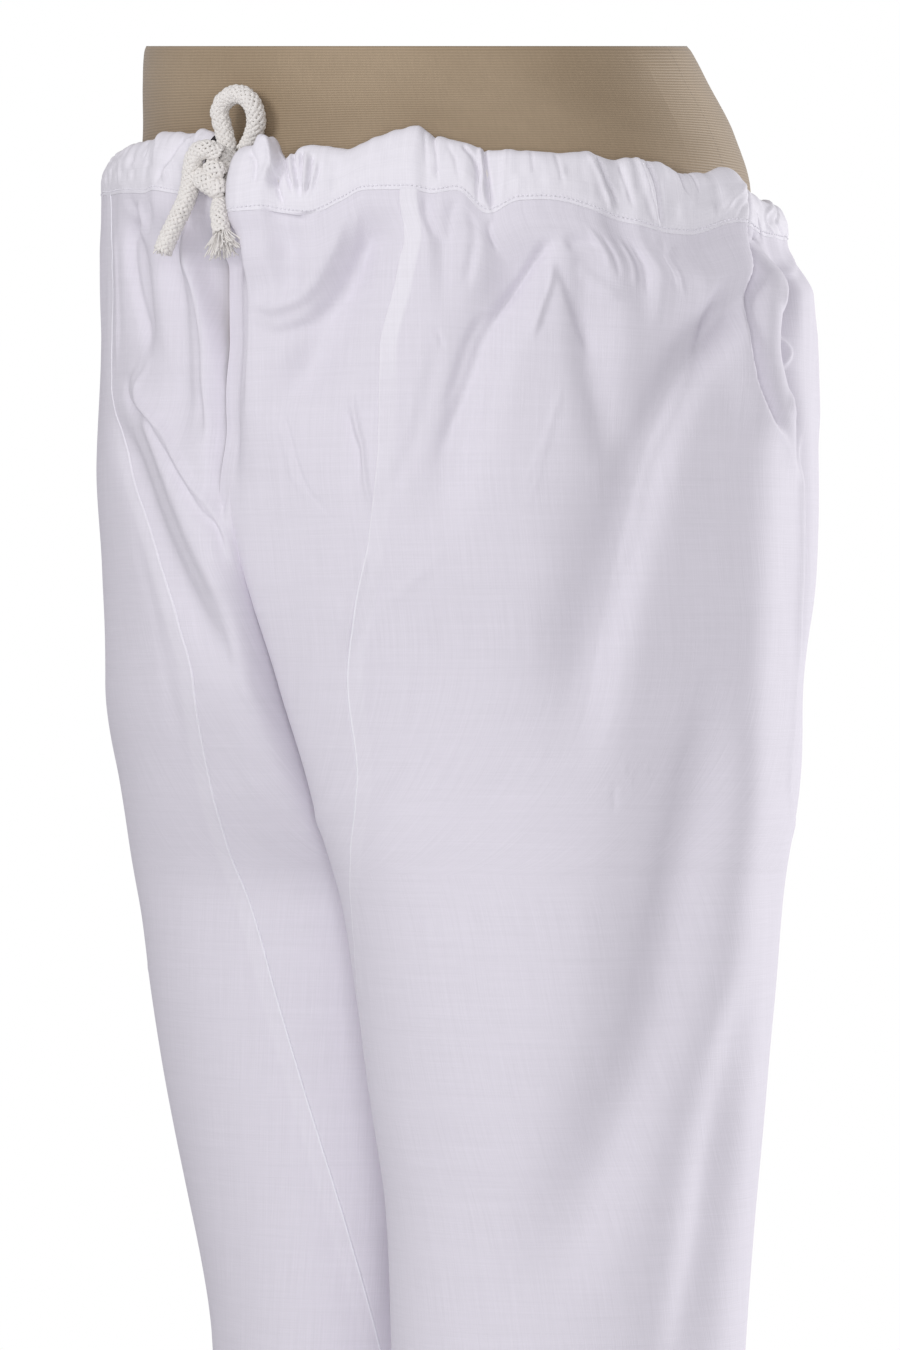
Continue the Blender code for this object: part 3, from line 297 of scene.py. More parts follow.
def plain_ellipse(side, z):
    """One half's section as an ellipse, from its inner side, by the front, to its inner side."""
    names = ("yaw", *(f"{side}_{name}" for name in SECTION_NAMES))
    yaw, x, y, long, short, corner = (float(smooth(z, SECTIONS["z"], SECTIONS[name])) for name in names)
    yaw = math.radians(yaw * 1000)
    turn = np.linspace(-math.pi, math.pi, ELLIPSE_POINTS) - yaw
    ahead, aside = long * np.cos(turn), short * np.sin(turn)
    xs = x + ahead * math.cos(yaw) - aside * math.sin(yaw)
    ys = y + ahead * math.sin(yaw) + aside * math.cos(yaw)
    return np.stack([xs, ys], axis=1), corner


def crossings(points):
    """Where a section meets the middle plane in front and behind, or None where it stays clear."""
    inside = np.flatnonzero(points[:, 0] <= 0)
    if not len(inside):
        return None
    front, back = inside[inside < len(points) // 2], inside[inside > len(points) // 2]
    return (front.max() if len(front) else 0), (back.min() if len(back) else len(points) - 1)


@functools.cache
def rise_ends(z):
    """The rise seam's y in front and behind at one height, the same for both halves."""
    if z <= CROTCH_Z:
        return 0.0, 0.0
    below = np.clip((RISE_START_Z - z) / (RISE_START_Z - CROTCH_Z), 0, 1)
    ends = []
    for side in SIDES:
        points, _ = plain_ellipse(side, z)
        ends.append([points[k, 1] for k in crossings(points)])
    return math.sqrt(1 - below**2) * np.mean(ends, axis=0)


def from_middle(points):
    """A closed leg line, starting and ending where its inner side crosses y = 0."""
    ahead = points[0, 1] > 0
    reach = points if ahead else points[::-1]
    k = np.argmax((reach[:, 1] > 0) != ahead)
    share = reach[k - 1, 1] / (reach[k - 1, 1] - reach[k, 1])
    cut = reach[k - 1] + share * (reach[k] - reach[k - 1])
    line = np.concatenate([[cut], reach[k:], reach[1:k], [cut]])
    return line if ahead else line[::-1]


@functools.cache
def section(side, z):
    """One half's level line as evenly spaced points, and its length. x is outwards."""
    points, corner = plain_ellipse(side, z)
    found = crossings(points)
    closed = z <= CROTCH_Z
    if found is None or (closed and points[found[1], 1] < 0):
        line = from_middle(points)
    else:
        front, back = rise_ends(z)
        middle = points[found[0] : found[1] + 1]
        middle[:, 0] = np.maximum(middle[:, 0], 0)
        line = np.concatenate([[[0, front]], middle, [[0, back]]])
    line, length = even(line, SAMPLES)
    step = length / (SAMPLES - 1)
    reach = int(3 * corner / step) + 1
    weights = np.exp(-0.5 * (np.arange(-reach, reach + 1) * step / corner) ** 2)
    line, length = even(evened(line, weights / weights.sum(), closed), SAMPLES)
    line[:, 0] = np.maximum(line[:, 0], 0) + SEAM_GAP / 2
    return line, length


@functools.cache
def whole(side, z):
    """How much of a closed level line the rise seam leaves out in front, and its full length.

    The missing stretches run along the middle plane, so places keep their share of the full
    line on both sides of the crotch.
    """
    front, back = rise_ends(z)
    return abs(front), abs(front) + section(side, z)[1] + abs(back)


def full_share(side, s, z):
    """The share of the full closed line at which s lies."""
    left_out, total = whole(side, z)
    return (left_out + s * section(side, z)[1]) / total


def read(line, s):
    """The point at s along evenly spaced points."""
    return between(np.clip(s, 0, 1) * (len(line) - 1), np.arange(len(line)), line)


def outward(line, s):
    """The level direction away from the leg at s."""
    ends = np.minimum(s + OUTWARD_STEP, 1), np.maximum(s - OUTWARD_STEP, 0)
    way = unit(read(line, ends[0]) - read(line, ends[1]))
    return np.stack([way[..., 1], -way[..., 0]], axis=-1)


def flap(side, along):
    """How far the wearer's left half stands forward beside the knot, at a way from the front."""
    rise = ease((along - FLAP_EDGE) / (FLAP_CREST - FLAP_EDGE))
    return FLAP_OUT[side] * rise * (1 - ease((along - FLAP_CREST) / (FLAP_REACH - FLAP_CREST)))


@functools.cache
def casing_ring(side):
    """The casing's centre line on one half, from the front to the back, and its length."""
    wide, deep, centre = CASING_RING
    turn = np.linspace(-math.pi / 2, math.pi / 2, ELLIPSE_POINTS)
    line, length = even(np.stack([wide * np.cos(turn), centre + deep * np.sin(turn)], axis=1), SAMPLES)
    line[:, 1] -= flap(side, np.linspace(0, length, SAMPLES))
    line[:, 0] += SEAM_GAP / 2
    return line, length


def drop(side, s):
    """How far the waist hangs at s."""
    return smooth(s, WAIST_DROP["s"], WAIST_DROP[side])


def gathered(side, s, name):
    """One column of the gathers' table, read between its rows."""
    return smooth(s, GATHERS[side]["s"], GATHERS[side][name])


def stitch_height(side, s):
    """The height of the stitch line under the waistband at s."""
    return PANEL_TOP_Z + CASING_GAP - drop(side, s) + gathered(side, s, "stitch")


def waist_height(side, s):
    """The height of the waistband's upper edge at s."""
    return WAIST_Z - drop(side, s) + gathered(side, s, "top")


def fold_depth(side, s, z):
    """How far the folds move the cloth outwards at one place."""
    out = np.zeros(np.broadcast(s, z).shape)
    for *course, depth, front, back in FOLDS[side]:
        course = np.reshape(course, (3, 2))[::-1]
        shares = [full_share(side, place, high) for place, high in course]
        away = (full_share(side, s, z) - smooth(z, course[:, 1], shares)) * whole(side, z)[1]
        share = (z - course[0, 1]) / (course[2, 1] - course[0, 1])
        fade = ease(share / FOLD_LOW_FADE) * ease((1 - share) / FOLD_TOP_FADE + FOLD_TOP_LEFT)
        out = out + depth * fade * hump(away, np.where(away < 0, front, back))
    return out


def surface(side, s, z):
    """The cloth's outer side at the places s on the level z, without its small relief."""
    s = np.clip(s, 0, 1)
    line, length = section(side, z)
    point = read(line, s)
    ring, _ = casing_ring(side)
    crest = gathered(side, s, "out")
    mix = ease((z - PANEL_TOP_Z) / JOIN_BLEND + 1)
    below = ease((z - PANEL_TOP_Z) / GATHER_LENGTH + 1)
    out = fold_depth(side, s, z) * ease(point[..., 0] / MIDDLE_FADE)
    out = out + GATHER_BELOW * below * (1 - GATHER_JOINED * mix) * (crest - GATHER_BELOW_MEAN)
    valley = hump(s * length, VALLEY_WIDTH) * ease((z - VALLEY_LOW_Z) / VALLEY_FADE)
    forward = ease((z - FLAP_LOW_Z) / (PANEL_TOP_Z - FLAP_LOW_Z)) * flap(side, s * length)
    out = out + (forward - VALLEY_DEPTH * valley) * (1 - mix)
    point = point + out[..., None] * outward(line, s)
    wave = GATHER_OUT * (crest - GATHER_MEAN)
    seat = read(ring, s) + (CASING_JOIN + wave)[..., None] * outward(ring, s)
    point = (1 - mix) * point + mix * seat
    hang = drop(side, s) * ease((z - DROP_FADE_Z) / (PANEL_TOP_Z - DROP_FADE_Z))
    hang = hang - gathered(side, s, "stitch") * ease((z - PANEL_TOP_Z) / STITCH_FADE + 1)
    x = np.maximum(point[..., 0], SEAM_GAP / 2)
    return mirrored(side, np.stack([x, point[..., 1], z - hang], axis=-1))


def edge_place(side, z, edge):
    """Where an edge of a panel lies at one height, as s."""
    if edge in ("front", "back") or z < KALI_TIP_Z:
        return 1.0 if "back" in edge else 0.0
    marks = 1 - KALI_SEAMS["back"] if edge == "back_seam" else KALI_SEAMS[side]
    shares = [full_share(side, mark, high) for mark, high in zip(marks, KALI_SEAMS["z"])]
    left_out, total = whole(side, z)
    return (float(smooth(z, KALI_SEAMS["z"], shares)) * total - left_out) / section(side, z)[1]


def route(points, step=0.001):
    """Points a step apart along a smooth curve through the points of a route."""
    chords = running(points)
    slopes = np.gradient(points, chords, axis=0)
    fine = np.linspace(0, chords[-1], CURVE_POINTS)
    i = np.clip(np.searchsorted(chords, fine, side="right") - 1, 0, len(chords) - 2)
    span = (chords[i + 1] - chords[i])[:, None]
    curve = cubic((fine - chords[i])[:, None] / span, span, points, slopes, i)
    return even(curve, max(3, round(running(curve)[-1] / step) + 1))[0]


def colour(hex_text):
    """A colour that is written as on screen, as linear light."""
    parts = [int(hex_text[k : k + 2], 16) / 255 for k in (0, 2, 4)]
    return tuple(p / 12.92 if p <= 0.04045 else ((p + 0.055) / 1.055) ** 2.4 for p in parts) + (1.0,)


def put(tree, sockets, values):
    """Sets sockets by name or number, or joins them to another node's output."""
    for key, value in values.items():
        if isinstance(value, (int, float, tuple)):
            sockets[key].default_value = value
        else:
            tree.links.new(value, sockets[key])


def add_node(tree, kind, values=None, **settings):
    """A new node. Returns its outputs."""
    made = tree.nodes.new("ShaderNode" + kind)
    for key, value in settings.items():
        setattr(made, key, value)
    put(tree, made.inputs, values or {})
    return made.outputs


def find_node(tree, kind):
    return next(node for node in tree.nodes if node.type == kind)


class Finish:
    """A node material, built step by step."""

    def __init__(self, name, roughness, sheen=0.0, sheen_roughness=0.5):
        self.material = bpy.data.materials.new(name)
        self.material.use_nodes = True
        self.tree = self.material.node_tree
        self.set({"Roughness": roughness, "Sheen Weight": sheen, "Sheen Roughness": sheen_roughness})

    def set(self, values):
        put(self.tree, find_node(self.tree, "BSDF_PRINCIPLED").inputs, values)

    def node(self, kind, values=None, **settings):
        return add_node(self.tree, kind, values, **settings)

    def math(self, operation, *values):
        return self.node("Math", dict(enumerate(values)), operation=operation)[0]

    def mix(self, share, a, b, blend="MIX"):
        return self.node("Mix", {0: share, 6: a, 7: b}, data_type="RGBA", blend_type=blend)[2]

    def noise(self, place, scale, detail=2.0, roughness=0.5):
        scaled = self.node("Mapping", {"Vector": place, "Scale": scale})[0]
        values = {"Vector": scaled, "Scale": 1.0, "Detail": detail, "Roughness": roughness}
        return self.node("TexNoise", values)[0]

    def flat(self):
        """The place on the flat cloth, across and up."""
        return self.node("UVMap", uv_map="cloth")[0]

    def place(self):
        return self.node("TexCoord")["Object"]

    def look(self, tone, height, distance, strength, shade=None):
        """The colour, darkened by shade, and the relief of the surface."""
        if shade is not None:
            grey = self.node("CombineColor", {0: shade, 1: shade, 2: shade})[0]
            tone = self.mix(1.0, tone, grey, "MULTIPLY")
        values = {"Strength": strength, "Distance": distance, "Height": height}
        self.set({"Base Color": tone, "Normal": self.node("Bump", values)[0]})
        return self.material


def cotton_finish():
    """Fine plain-weave cotton: greyer in one layer, whiter in two, with a painted highlight along a seam's
    folded edge.
    """
    made = Finish("fine_white_cotton", 0.82, 0.08)
    made.set({"Specular IOR Level": 0.25})
    flat = made.flat()
    layer_highlight_mask = made.node("Attribute", attribute_name="layers_and_highlight")["Fac"]
    base = made.mix(layer_highlight_mask, colour("dedae3"), colour("e7e4eb"))
    # Above 1 the mask paints a highlight in the palest tone along a seam's folded edge
    base = made.mix(made.math("SUBTRACT", layer_highlight_mask, 1.0), base, colour("f4f3fa"))
    warp = made.noise(flat, (1500, 26, 1), 2.0, 0.6)
    weft = made.noise(flat, (24, 1300, 1), 2.0, 0.6)
    slubs = made.math("ADD", made.noise(flat, (430, 7, 1)), made.noise(flat, (8, 330, 1)))
    threads = made.math("ADD", made.math("MULTIPLY", warp, 0.6), made.math("MULTIPLY", weft, 0.4))
    shade = made.math("MULTIPLY_ADD", threads, 0.20, 0.845)
    shade = made.math("MULTIPLY_ADD", slubs, 0.05, shade)
    cloudy = made.math("SUBTRACT", made.noise(flat, (16, 11, 1)), 0.5)
    shade = made.math("MULTIPLY_ADD", cloudy, 0.03, shade)
    return made.look(base, threads, 0.00022, 0.9, shade)


RIB_EVERY = 0.00165
COVER_SEAMS = (0.0336, 0.4690)
COVER_STITCH = 0.0036
COVER_THREAD = 0.0005


def form_finish():
    """The form's tan cover: a fine cross-ribbed weave, darker in each rib's groove as painted shade, with
    two stitched seams.
    """
    made = Finish("tan_ribbed_cover", 0.62, 0.25, 0.35)
    flat = made.flat()
    across, up, _ = made.node("SeparateXYZ", {0: flat})
    height = made.math("MULTIPLY_ADD", made.noise(flat, (30, 60, 1), 1.0), 0.0007, up)
    ribs = made.math("SINE", made.math("MULTIPLY", height, 2 * math.pi / RIB_EVERY))
    ribs = made.math("MULTIPLY_ADD", ribs, 0.5, 0.5)
    yarn = made.noise(flat, (900, 90, 1))
    tone = made.mix(made.noise(flat, (9, 14, 1), 3.0), colour("8f7b62"), colour("b5a085"))
    # Each rib's groove is darker: painted shade, on top of the ribs' real relief in the bump
    shade = made.math("MULTIPLY_ADD", ribs, 0.17, 0.84)
    for seam in COVER_SEAMS:
        away = made.math("ABSOLUTE", made.math("SUBTRACT", across, seam))
        line = made.math("LESS_THAN", away, COVER_THREAD)
        part = made.math("FRACT", made.math("DIVIDE", up, COVER_STITCH))
        dash = made.math("MULTIPLY", line, made.math("GREATER_THAN", part, 0.35))
        shade = made.math("MULTIPLY_ADD", dash, -0.22, shade)
    shade = made.math("MULTIPLY", shade, made.math("MULTIPLY_ADD", yarn, 0.16, 0.92))
    return made.look(tone, made.math("MULTIPLY_ADD", yarn, 0.5, ribs), 0.00018, 0.8, shade)


def steel_finish():
    made = Finish("brushed_steel", 0.38)
    grain = made.noise(made.place(), (6, 6, 900))
    made.set({"Metallic": 1.0, "Roughness": made.math("MULTIPLY_ADD", grain, 0.16, 0.30)})
    return made.look((0.5, 0.5, 0.51, 1), grain, 0.00004, 0.5)


def yarn_finish(name, light, dark):
    """Soft cotton yarn in two tones, mixed at random by a fine fuzz."""
    made = Finish(name, 0.9, 0.2, 0.6)
    fuzz = made.noise(made.place(), (2600, 2600, 2600))
    return made.look(made.mix(fuzz, colour(dark), colour(light)), fuzz, 0.00025, 0.8)


# The drawstring: a round braid of strands, half of them turning each way
STRANDS_EACH_WAY = 8
STRAND_SIDES = 6
STRAND_THICK = 0.00072
STRAND_IN = 1.45
STRAND_OVERLAP = 1.02
# The tube inside the strands takes dark yarn: painted shade between the strands.
SHADE_CORE_IN = 0.6
BRAID_PITCH = 0.0235
BRAID_RADIUS = 0.0053
BRAID_TAPER = 0.003
BRAID_SPOTS = 36
WOBBLE = 0.05
WOBBLE_EVERY = 0.004
WEAVE_RISE = 0.62
UNEVEN_RISE = 0.25
UNEVEN_EVERY = 0.003
SQUEEZED_RADIUS = 0.0047
CHANNEL_SHARE = 0.0145 / CASING_HEIGHT
CHANNEL_ENDS = {"left": 0.036, "right": 0.024}
RING_SIDES = 12

# The knot's bands and the free cord's routes, down the middle of the cord
BAND_RADII = (0.0070, 0.0058, 0.0062)
BAND_ENDS = (0.45, 0.45)
KNOT_BANDS = (
    (-2, -169, 1080, -1, -170, 1066.4, 0.5, -171, 1059),
    (-6, -176.5, 1070.5, 0, -179, 1068.5, 5, -177, 1065.5),
    (-15, -177, 1067.2, -5, -180.8, 1062.8, 7, -178, 1056),
)
CORD_ROUTES = {
    "drawstring_long_end": (
        1.5, -176.5, 1076.5, -4.5, -181.2, 1079.8, -10, -182.5, 1078.2, -13.6, -182.2, 1073.2, -15.5,
        -181.5, 1066, -18, -181.8, 1056, -21.8, -184.5, 1045.5, -27.5, -186.2, 1035, -31.5, -186.8,
        1027.5,
    ),
    "drawstring_loop": (
        -3.75, -166.5, 1079, -5.1, -166.5, 1086.36, -7.17, -167.2, 1093.72, -8.25, -168, 1101.54, -2.58,
        -167, 1107.704, 5.7, -166, 1108.9, 12.27, -164.5, 1104.208, 13.98, -162.5, 1095.928, 10.38,
        -161.4, 1086.82, 4.8, -162, 1079,
    ),
    "drawstring_short_end": (
        0.5, -171, 1060, 2.5, -176.5, 1052, 7, -182.5, 1046, 10.5, -185.2, 1040.5, 12, -185.8, 1035,
    ),
}

# Loose yarns at the two cut ends: how many, how long, how far they spread, seed, and how round
BRUSH = (120, 0.0168, 0.0076, 61, 0.5)
TUFT = (46, 0.0046, 0.0012, 62, 1.0)
YARN_ROOT = 0.0025
YARN_REACH = 0.0042
YARN_CURL = 0.0015
YARN_THICK = ((0, 0.2, 1), (0.00042, 0.00050, 0.00040))


@functools.cache
def lattice(seed, size=64):
    return np.random.default_rng(seed).random((size, size)) * 2 - 1


def ripple(u, v, seed):
    """Smooth random relief between -1 and 1, where u and v count cells."""
    net = lattice(seed)
    size = len(net)
    u, v = np.broadcast_arrays(u, v)
    i, j = np.floor(u).astype(int), np.floor(v).astype(int)
    a, b = (t * t * t * (t * (t * 6 - 15) + 10) for t in (u - i, v - j))
    low, high = (
        net[i % size, k % size] * (1 - a) + net[(i + 1) % size, k % size] * a for k in (j, j + 1)
    )
    return low * (1 - b) + high * b


def sides_along(points):
    """Unit vectors to the side and upwards, carried along a line without twist."""
    ahead = unit(np.gradient(points, axis=0))
    sides = [unit(np.cross(ahead[0], [0.3, 0.2, 1.0]))]
    for way in ahead[1:]:
        sides.append(unit(sides[-1] - way * np.dot(sides[-1], way)))
    return np.array(sides), np.cross(ahead, sides)


def around(turn, across, up):
    """Directions at the angles turn, between two side vectors at each point of a line."""
    return np.cos(turn)[..., None] * across + np.sin(turn)[..., None] * up


def tube(points, radius, flat, sides, spin):
    """Rings of points round a line. flat is its half thickness along spin, the outward direction."""
    ahead = unit(np.gradient(points, axis=0))
    across = unit(np.cross(ahead, spin))
    up = np.cross(across, ahead)
    turn = np.linspace(0, 2 * math.pi, sides, endpoint=False)
    radius, flat = (np.broadcast_to(size, len(points))[:, None, None] for size in (radius, flat))
    return points[:, None] + around(turn, radius * across[:, None], flat * up[:, None])


def mesh_object(name, points, faces, material):
    """A smooth mesh in one material. faces is a list of rows of point numbers."""
    mesh = bpy.data.meshes.new(name)
    mesh.from_pydata(points.reshape(-1, 3).tolist(), [], faces)
    mesh.shade_smooth()
    mesh.materials.append(material)
    return add_object(name, mesh)


def worn(obj, node=None):
    """Ties a piece to the garment. node is the solid that it stands for."""
    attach(obj, "root")
    if node:
        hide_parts(node)
    return obj


class Bundle:
    """Tubes gathered into one mesh."""

    def __init__(self):
        self.points, self.faces, self.count = [], [], 0

    def add(self, rings):
        rows, sides = rings.shape[:2]
        index = np.arange(rows * sides).reshape(rows, sides) + self.count
        after = np.roll(index, -1, axis=1)
        faces = np.stack([index[:-1], after[:-1], after[1:], index[1:]], axis=-1)
        self.faces += faces.reshape(-1, 4).tolist()
        self.faces += [index[0][::-1].tolist(), index[-1].tolist()]
        self.points.append(rings.reshape(-1, 3))
        self.count += rows * sides

    def make(self, name, material, slot, node=None):
        return worn(mesh_object(name, np.concatenate(self.points), self.faces, material), node)


def softened(line, reach=4):
    """A line with its bends evened out over reach points and its two ends kept."""
    return evened(line, np.full(2 * reach + 1, 1 / (2 * reach + 1)))


def braided(bundle, points, radius, ends, seed):
    """A round braid along a line, added to a bundle. ends are its sizes there. Returns its line
    and a tube inside its strands, which is given dark yarn as painted shade between them."""
    rng = np.random.default_rng(seed)
    each = STRANDS_EACH_WAY
    length = running(points)[-1]
    points, _ = even(points, max(6, round(length * BRAID_SPOTS / BRAID_PITCH)))
    at = np.linspace(0, length, len(points))
    line = softened(points)
    side, lift = sides_along(line)
    full = np.interp(at, [0, BRAID_TAPER, length - BRAID_TAPER, length], [ends[0], 1, 1, ends[1]])
    middle = radius - STRAND_IN * STRAND_THICK
    turn = 2 * math.pi * at / BRAID_PITCH
    slant = math.atan(2 * math.pi * middle / BRAID_PITCH)
    width = math.pi * middle / each * math.cos(slant) * STRAND_OVERLAP
    for direction in (1, -1):
        for k in range(each):
            wobble = WOBBLE * ripple(at / WOBBLE_EVERY, 0.5 + k + 9 * direction, 51 + seed)
            angle = direction * turn + 2 * math.pi * k / each + wobble
            over = direction * np.cos(each * turn + direction * math.pi * k)
            lifted = WEAVE_RISE * over + UNEVEN_RISE * ripple(at / UNEVEN_EVERY, k + 0.5, 71 + seed)
            spin = around(angle, side, lift)
            spot = line + spin * ((middle + STRAND_THICK * lifted) * full)[:, None]
            bundle.add(tube(spot, width * rng.uniform(0.85, 1.08), STRAND_THICK, STRAND_SIDES, spin))
    # A tube inside the strands, for dark yarn that paints shade between them
    turn = np.linspace(0, 2 * math.pi, RING_SIDES, endpoint=False)
    shade_core = ((middle - SHADE_CORE_IN * STRAND_THICK) * full)[:, None, None]
    return line, line[:, None] + shade_core * around(turn, side[:, None], lift[:, None])


def yarns(end, way, count, reach, spread, seed, press):
    """Loose yarns that leave the end of a cord and open like a brush."""
    rng = np.random.default_rng(seed)
    bundle = Bundle()
    way = unit(way)
    side = unit(np.cross(way, [0, 1, 0]))
    front = np.cross(side, way)
    t = np.linspace(0, 1, 7)[:, None]
    thick = np.interp(t[:, 0], *YARN_THICK)
    for k in range(count):
        share, turn = math.sqrt((k + 0.5) / count), k * math.pi * (3 - math.sqrt(5))
        aside = math.cos(turn) * side + press * math.sin(turn) * front
        root = end - way * YARN_ROOT + aside * share * YARN_REACH
        length = reach * rng.uniform(0.62, 1.05)
        curl = rng.normal(0, YARN_CURL, 3)
        points = root + way * length * (t - 0.18 * share * t**2.5)
        points = points + aside * share * spread * t**1.5 + curl * np.sin(2.6 * t) * t
        bundle.add(tube(points, thick, thick, 5, np.repeat(aside[None] + 0.01, 7, axis=0)))
    return bundle


def casing_middle(side):
    """The middle of the drawstring channel on one half, from its end in front to the back."""
    s = np.linspace(CHANNEL_ENDS[side], 1, 90)
    height = (1 - CHANNEL_SHARE) * stitch_height(side, s) + CHANNEL_SHARE * waist_height(side, s)
    return mirrored(side, np.column_stack([read(casing_ring(side)[0], s), height]))


def make_cords(cord, shade):
    """The drawstring's free lengths and its knot as braids, with yarns at its two cut ends.
    Returns the pieces by name and the cords' lines."""
    made, lines = {}, {}
    braids = {
        name: [(row, BRAID_RADIUS, (1.0, 1.0), number)]
        for number, (name, row) in enumerate(CORD_ROUTES.items())
    }
    braids["drawstring_knot"] = [
        (row, radius, BAND_ENDS, 5 + number)
        for number, (row, radius) in enumerate(zip(KNOT_BANDS, BAND_RADII))
    ]
    for name, runs in braids.items():
        bundle, inner = Bundle(), Bundle()
        for row, *sizes in runs:
            lines[name], shade_core = braided(bundle, route(places(row, 3)), *sizes)
            inner.add(shade_core)
        made[name] = bundle.make(name + "_braid", cord, "cord", name)
        # The tubes inside the braids are in the dark cord_shade yarn: painted shade between the strands
        made[name + "_shade_core"] = inner.make(name + "_shade_core", shade, "cord")
    short, long = lines["drawstring_short_end"], lines["drawstring_long_end"]
    brush = yarns(short[-1], short[-1] - short[-6], *BRUSH)
    made["drawstring_fray"] = brush.make("drawstring_brush", cord, "cord", "drawstring_fray")
    tuft = yarns(long[-1], long[-1] - long[-6], *TUFT)
    made["drawstring_tuft"] = tuft.make("drawstring_tuft", cord, "cord")
    knot = places(KNOT_BANDS[0], 3)[1:2]
    ring = np.concatenate([knot, casing_middle("left"), casing_middle("right")[-2::-1], knot])
    ring = softened(ring, 2)
    held = Bundle()
    held.add(tube(ring, SQUEEZED_RADIUS, SQUEEZED_RADIUS, RING_SIDES, sides_along(ring)[0]))
    held.make("drawstring_in_casing_cover", cord, "cord", "drawstring_in_casing")
    return made, lines


# The fine cloth: (from, to, step) of its levels and, across each panel, of its columns, which are
# counted on COUNT_LENGTH. Two closer columns follow each edge.
LEVELS = (
    (HEM_Z, KALI_TIP_Z, 0.0060),
    (KALI_TIP_Z, 0.600, 0.0045),
    (0.600, 0.880, 0.0034),
    (0.880, PANEL_TOP_Z, 0.0018),
)
COUNT_LENGTH = {"leg": 0.345, "front_kali": 0.120, "back_kali": 0.115}
COLUMN_STEPS = {
    "leg_left": ((0, 0.72, 0.00095), (0.72, 1, 0.0022)),
    "leg_right": ((0, 1, 0.0021),),
    "front_kali_left": ((0, 1, 0.00095),),
    "front_kali_right": ((0, 1, 0.0012),),
    "back_kali_left": ((0, 1, 0.0019),),
    "back_kali_right": ((0, 1, 0.0019),),
}
NEAR_EDGE = np.array([0.0004, 0.0009])

# Each panel's two edges and its lower end
PANELS = {
    "leg": ("front_seam", "back_seam", HEM_Z),
    "front_kali": ("front", "front_seam", KALI_TIP_Z),
    "back_kali": ("back_seam", "back", KALI_TIP_Z),
}
# Each piece's flat width, length and area, of what shows
FLAT_CUTS = {
    "leg_left": (0.500, 1.014, 0.4554),
    "leg_right": (0.518, 1.014, 0.4616),
    "front_kali_left": (0.1425, 0.764, 0.0648),
    "front_kali_right": (0.1474, 0.764, 0.0666),
    "back_kali_left": (0.140, 0.764, 0.0660),
    "back_kali_right": (0.145, 0.764, 0.0676),
    "waistband_left": (0.530, 0.073, 0.0386),
    "waistband_right": (0.537, 0.073, 0.0391),
}

# The seams: a small gap, a dip towards it, the kali's way under the leg panel's folded edge, the
# seam allowance that shows as a second layer, how well that shows below and above PRESSED_Z, and
# the cloth turned in at each edge
EDGE_GAP = 0.00012
SEAM_ROUND = 0.0011
SEAM_DIP = {"leg": 0.00008, "front_kali": 0.00042, "back_kali": 0.00042}
UNDERLAP = 0.0012
PUCKER_EVERY = 0.0075
PUCKER_RISE = 0.00028
PUCKER_REACH = 0.007
ALLOWANCE = 0.0098
ALLOWANCE_RISE = 0.00030
ALLOWANCE_SOFT = 0.0014
PRESSED = {"left": (0.22, 1.0), "right": (0.30, 0.30)}
PRESSED_Z = 0.945
PRESSED_FADE = 0.050
# The reach and softness of the painted highlight along the folded edge at a seam
HIGHLIGHT_REACH = 0.0008
HIGHLIGHT_SOFT = 0.0005
TURN_IN = 0.0022
TURN_FLAT = 0.003
FRONT_TURN_OUT = {"left": -0.010, "right": 0.0}
FRONT_TURN_IN = 0.0016

# How strong the painted highlight along the folded edge of a kali seam is at these heights
EDGE_HEIGHTS = (0.52, 0.60, 0.70, 0.78, 0.84, 0.88, 0.95, 1.03)
EDGE_HIGHLIGHT = {
    "left": (0.35, 0.10, 0.45, 0.85, 0.80, 0.05, 0.0, 0.0),
    "right": (0.90, 0.70, 0.50, 0.35, 0.20, 0.10, 0.20, 0.60),
}

# The hem, turned up inside: its height, and rows inside it as (up, in)
HEM_TURN_UP = 0.025
HEM_ROWS = ((0.024, 0.0018), (0.012, 0.0018), (0.001, 0.0015), (-0.0004, 0.0009))

# A small tuck forward at the centre front
TUCK = 0.0095
TUCK_Z = 0.935
TUCK_TALL = 0.030
TUCK_WIDE = 0.012

# Slack in the cloth: height, width and slant round the half, length down it, and seed
SLACK = ((0.0009, 0.060, 3, 0.130, 0), (0.0004, 0.026, -4, 0.080, 10))
# Puckers under the waistband: height, width, length and seed, and how far down they reach
TIGHT = (0.0007, 0.0085, 0.050, 20)
TIGHT_REACH = 0.100
TIGHT_FADE = 0.020
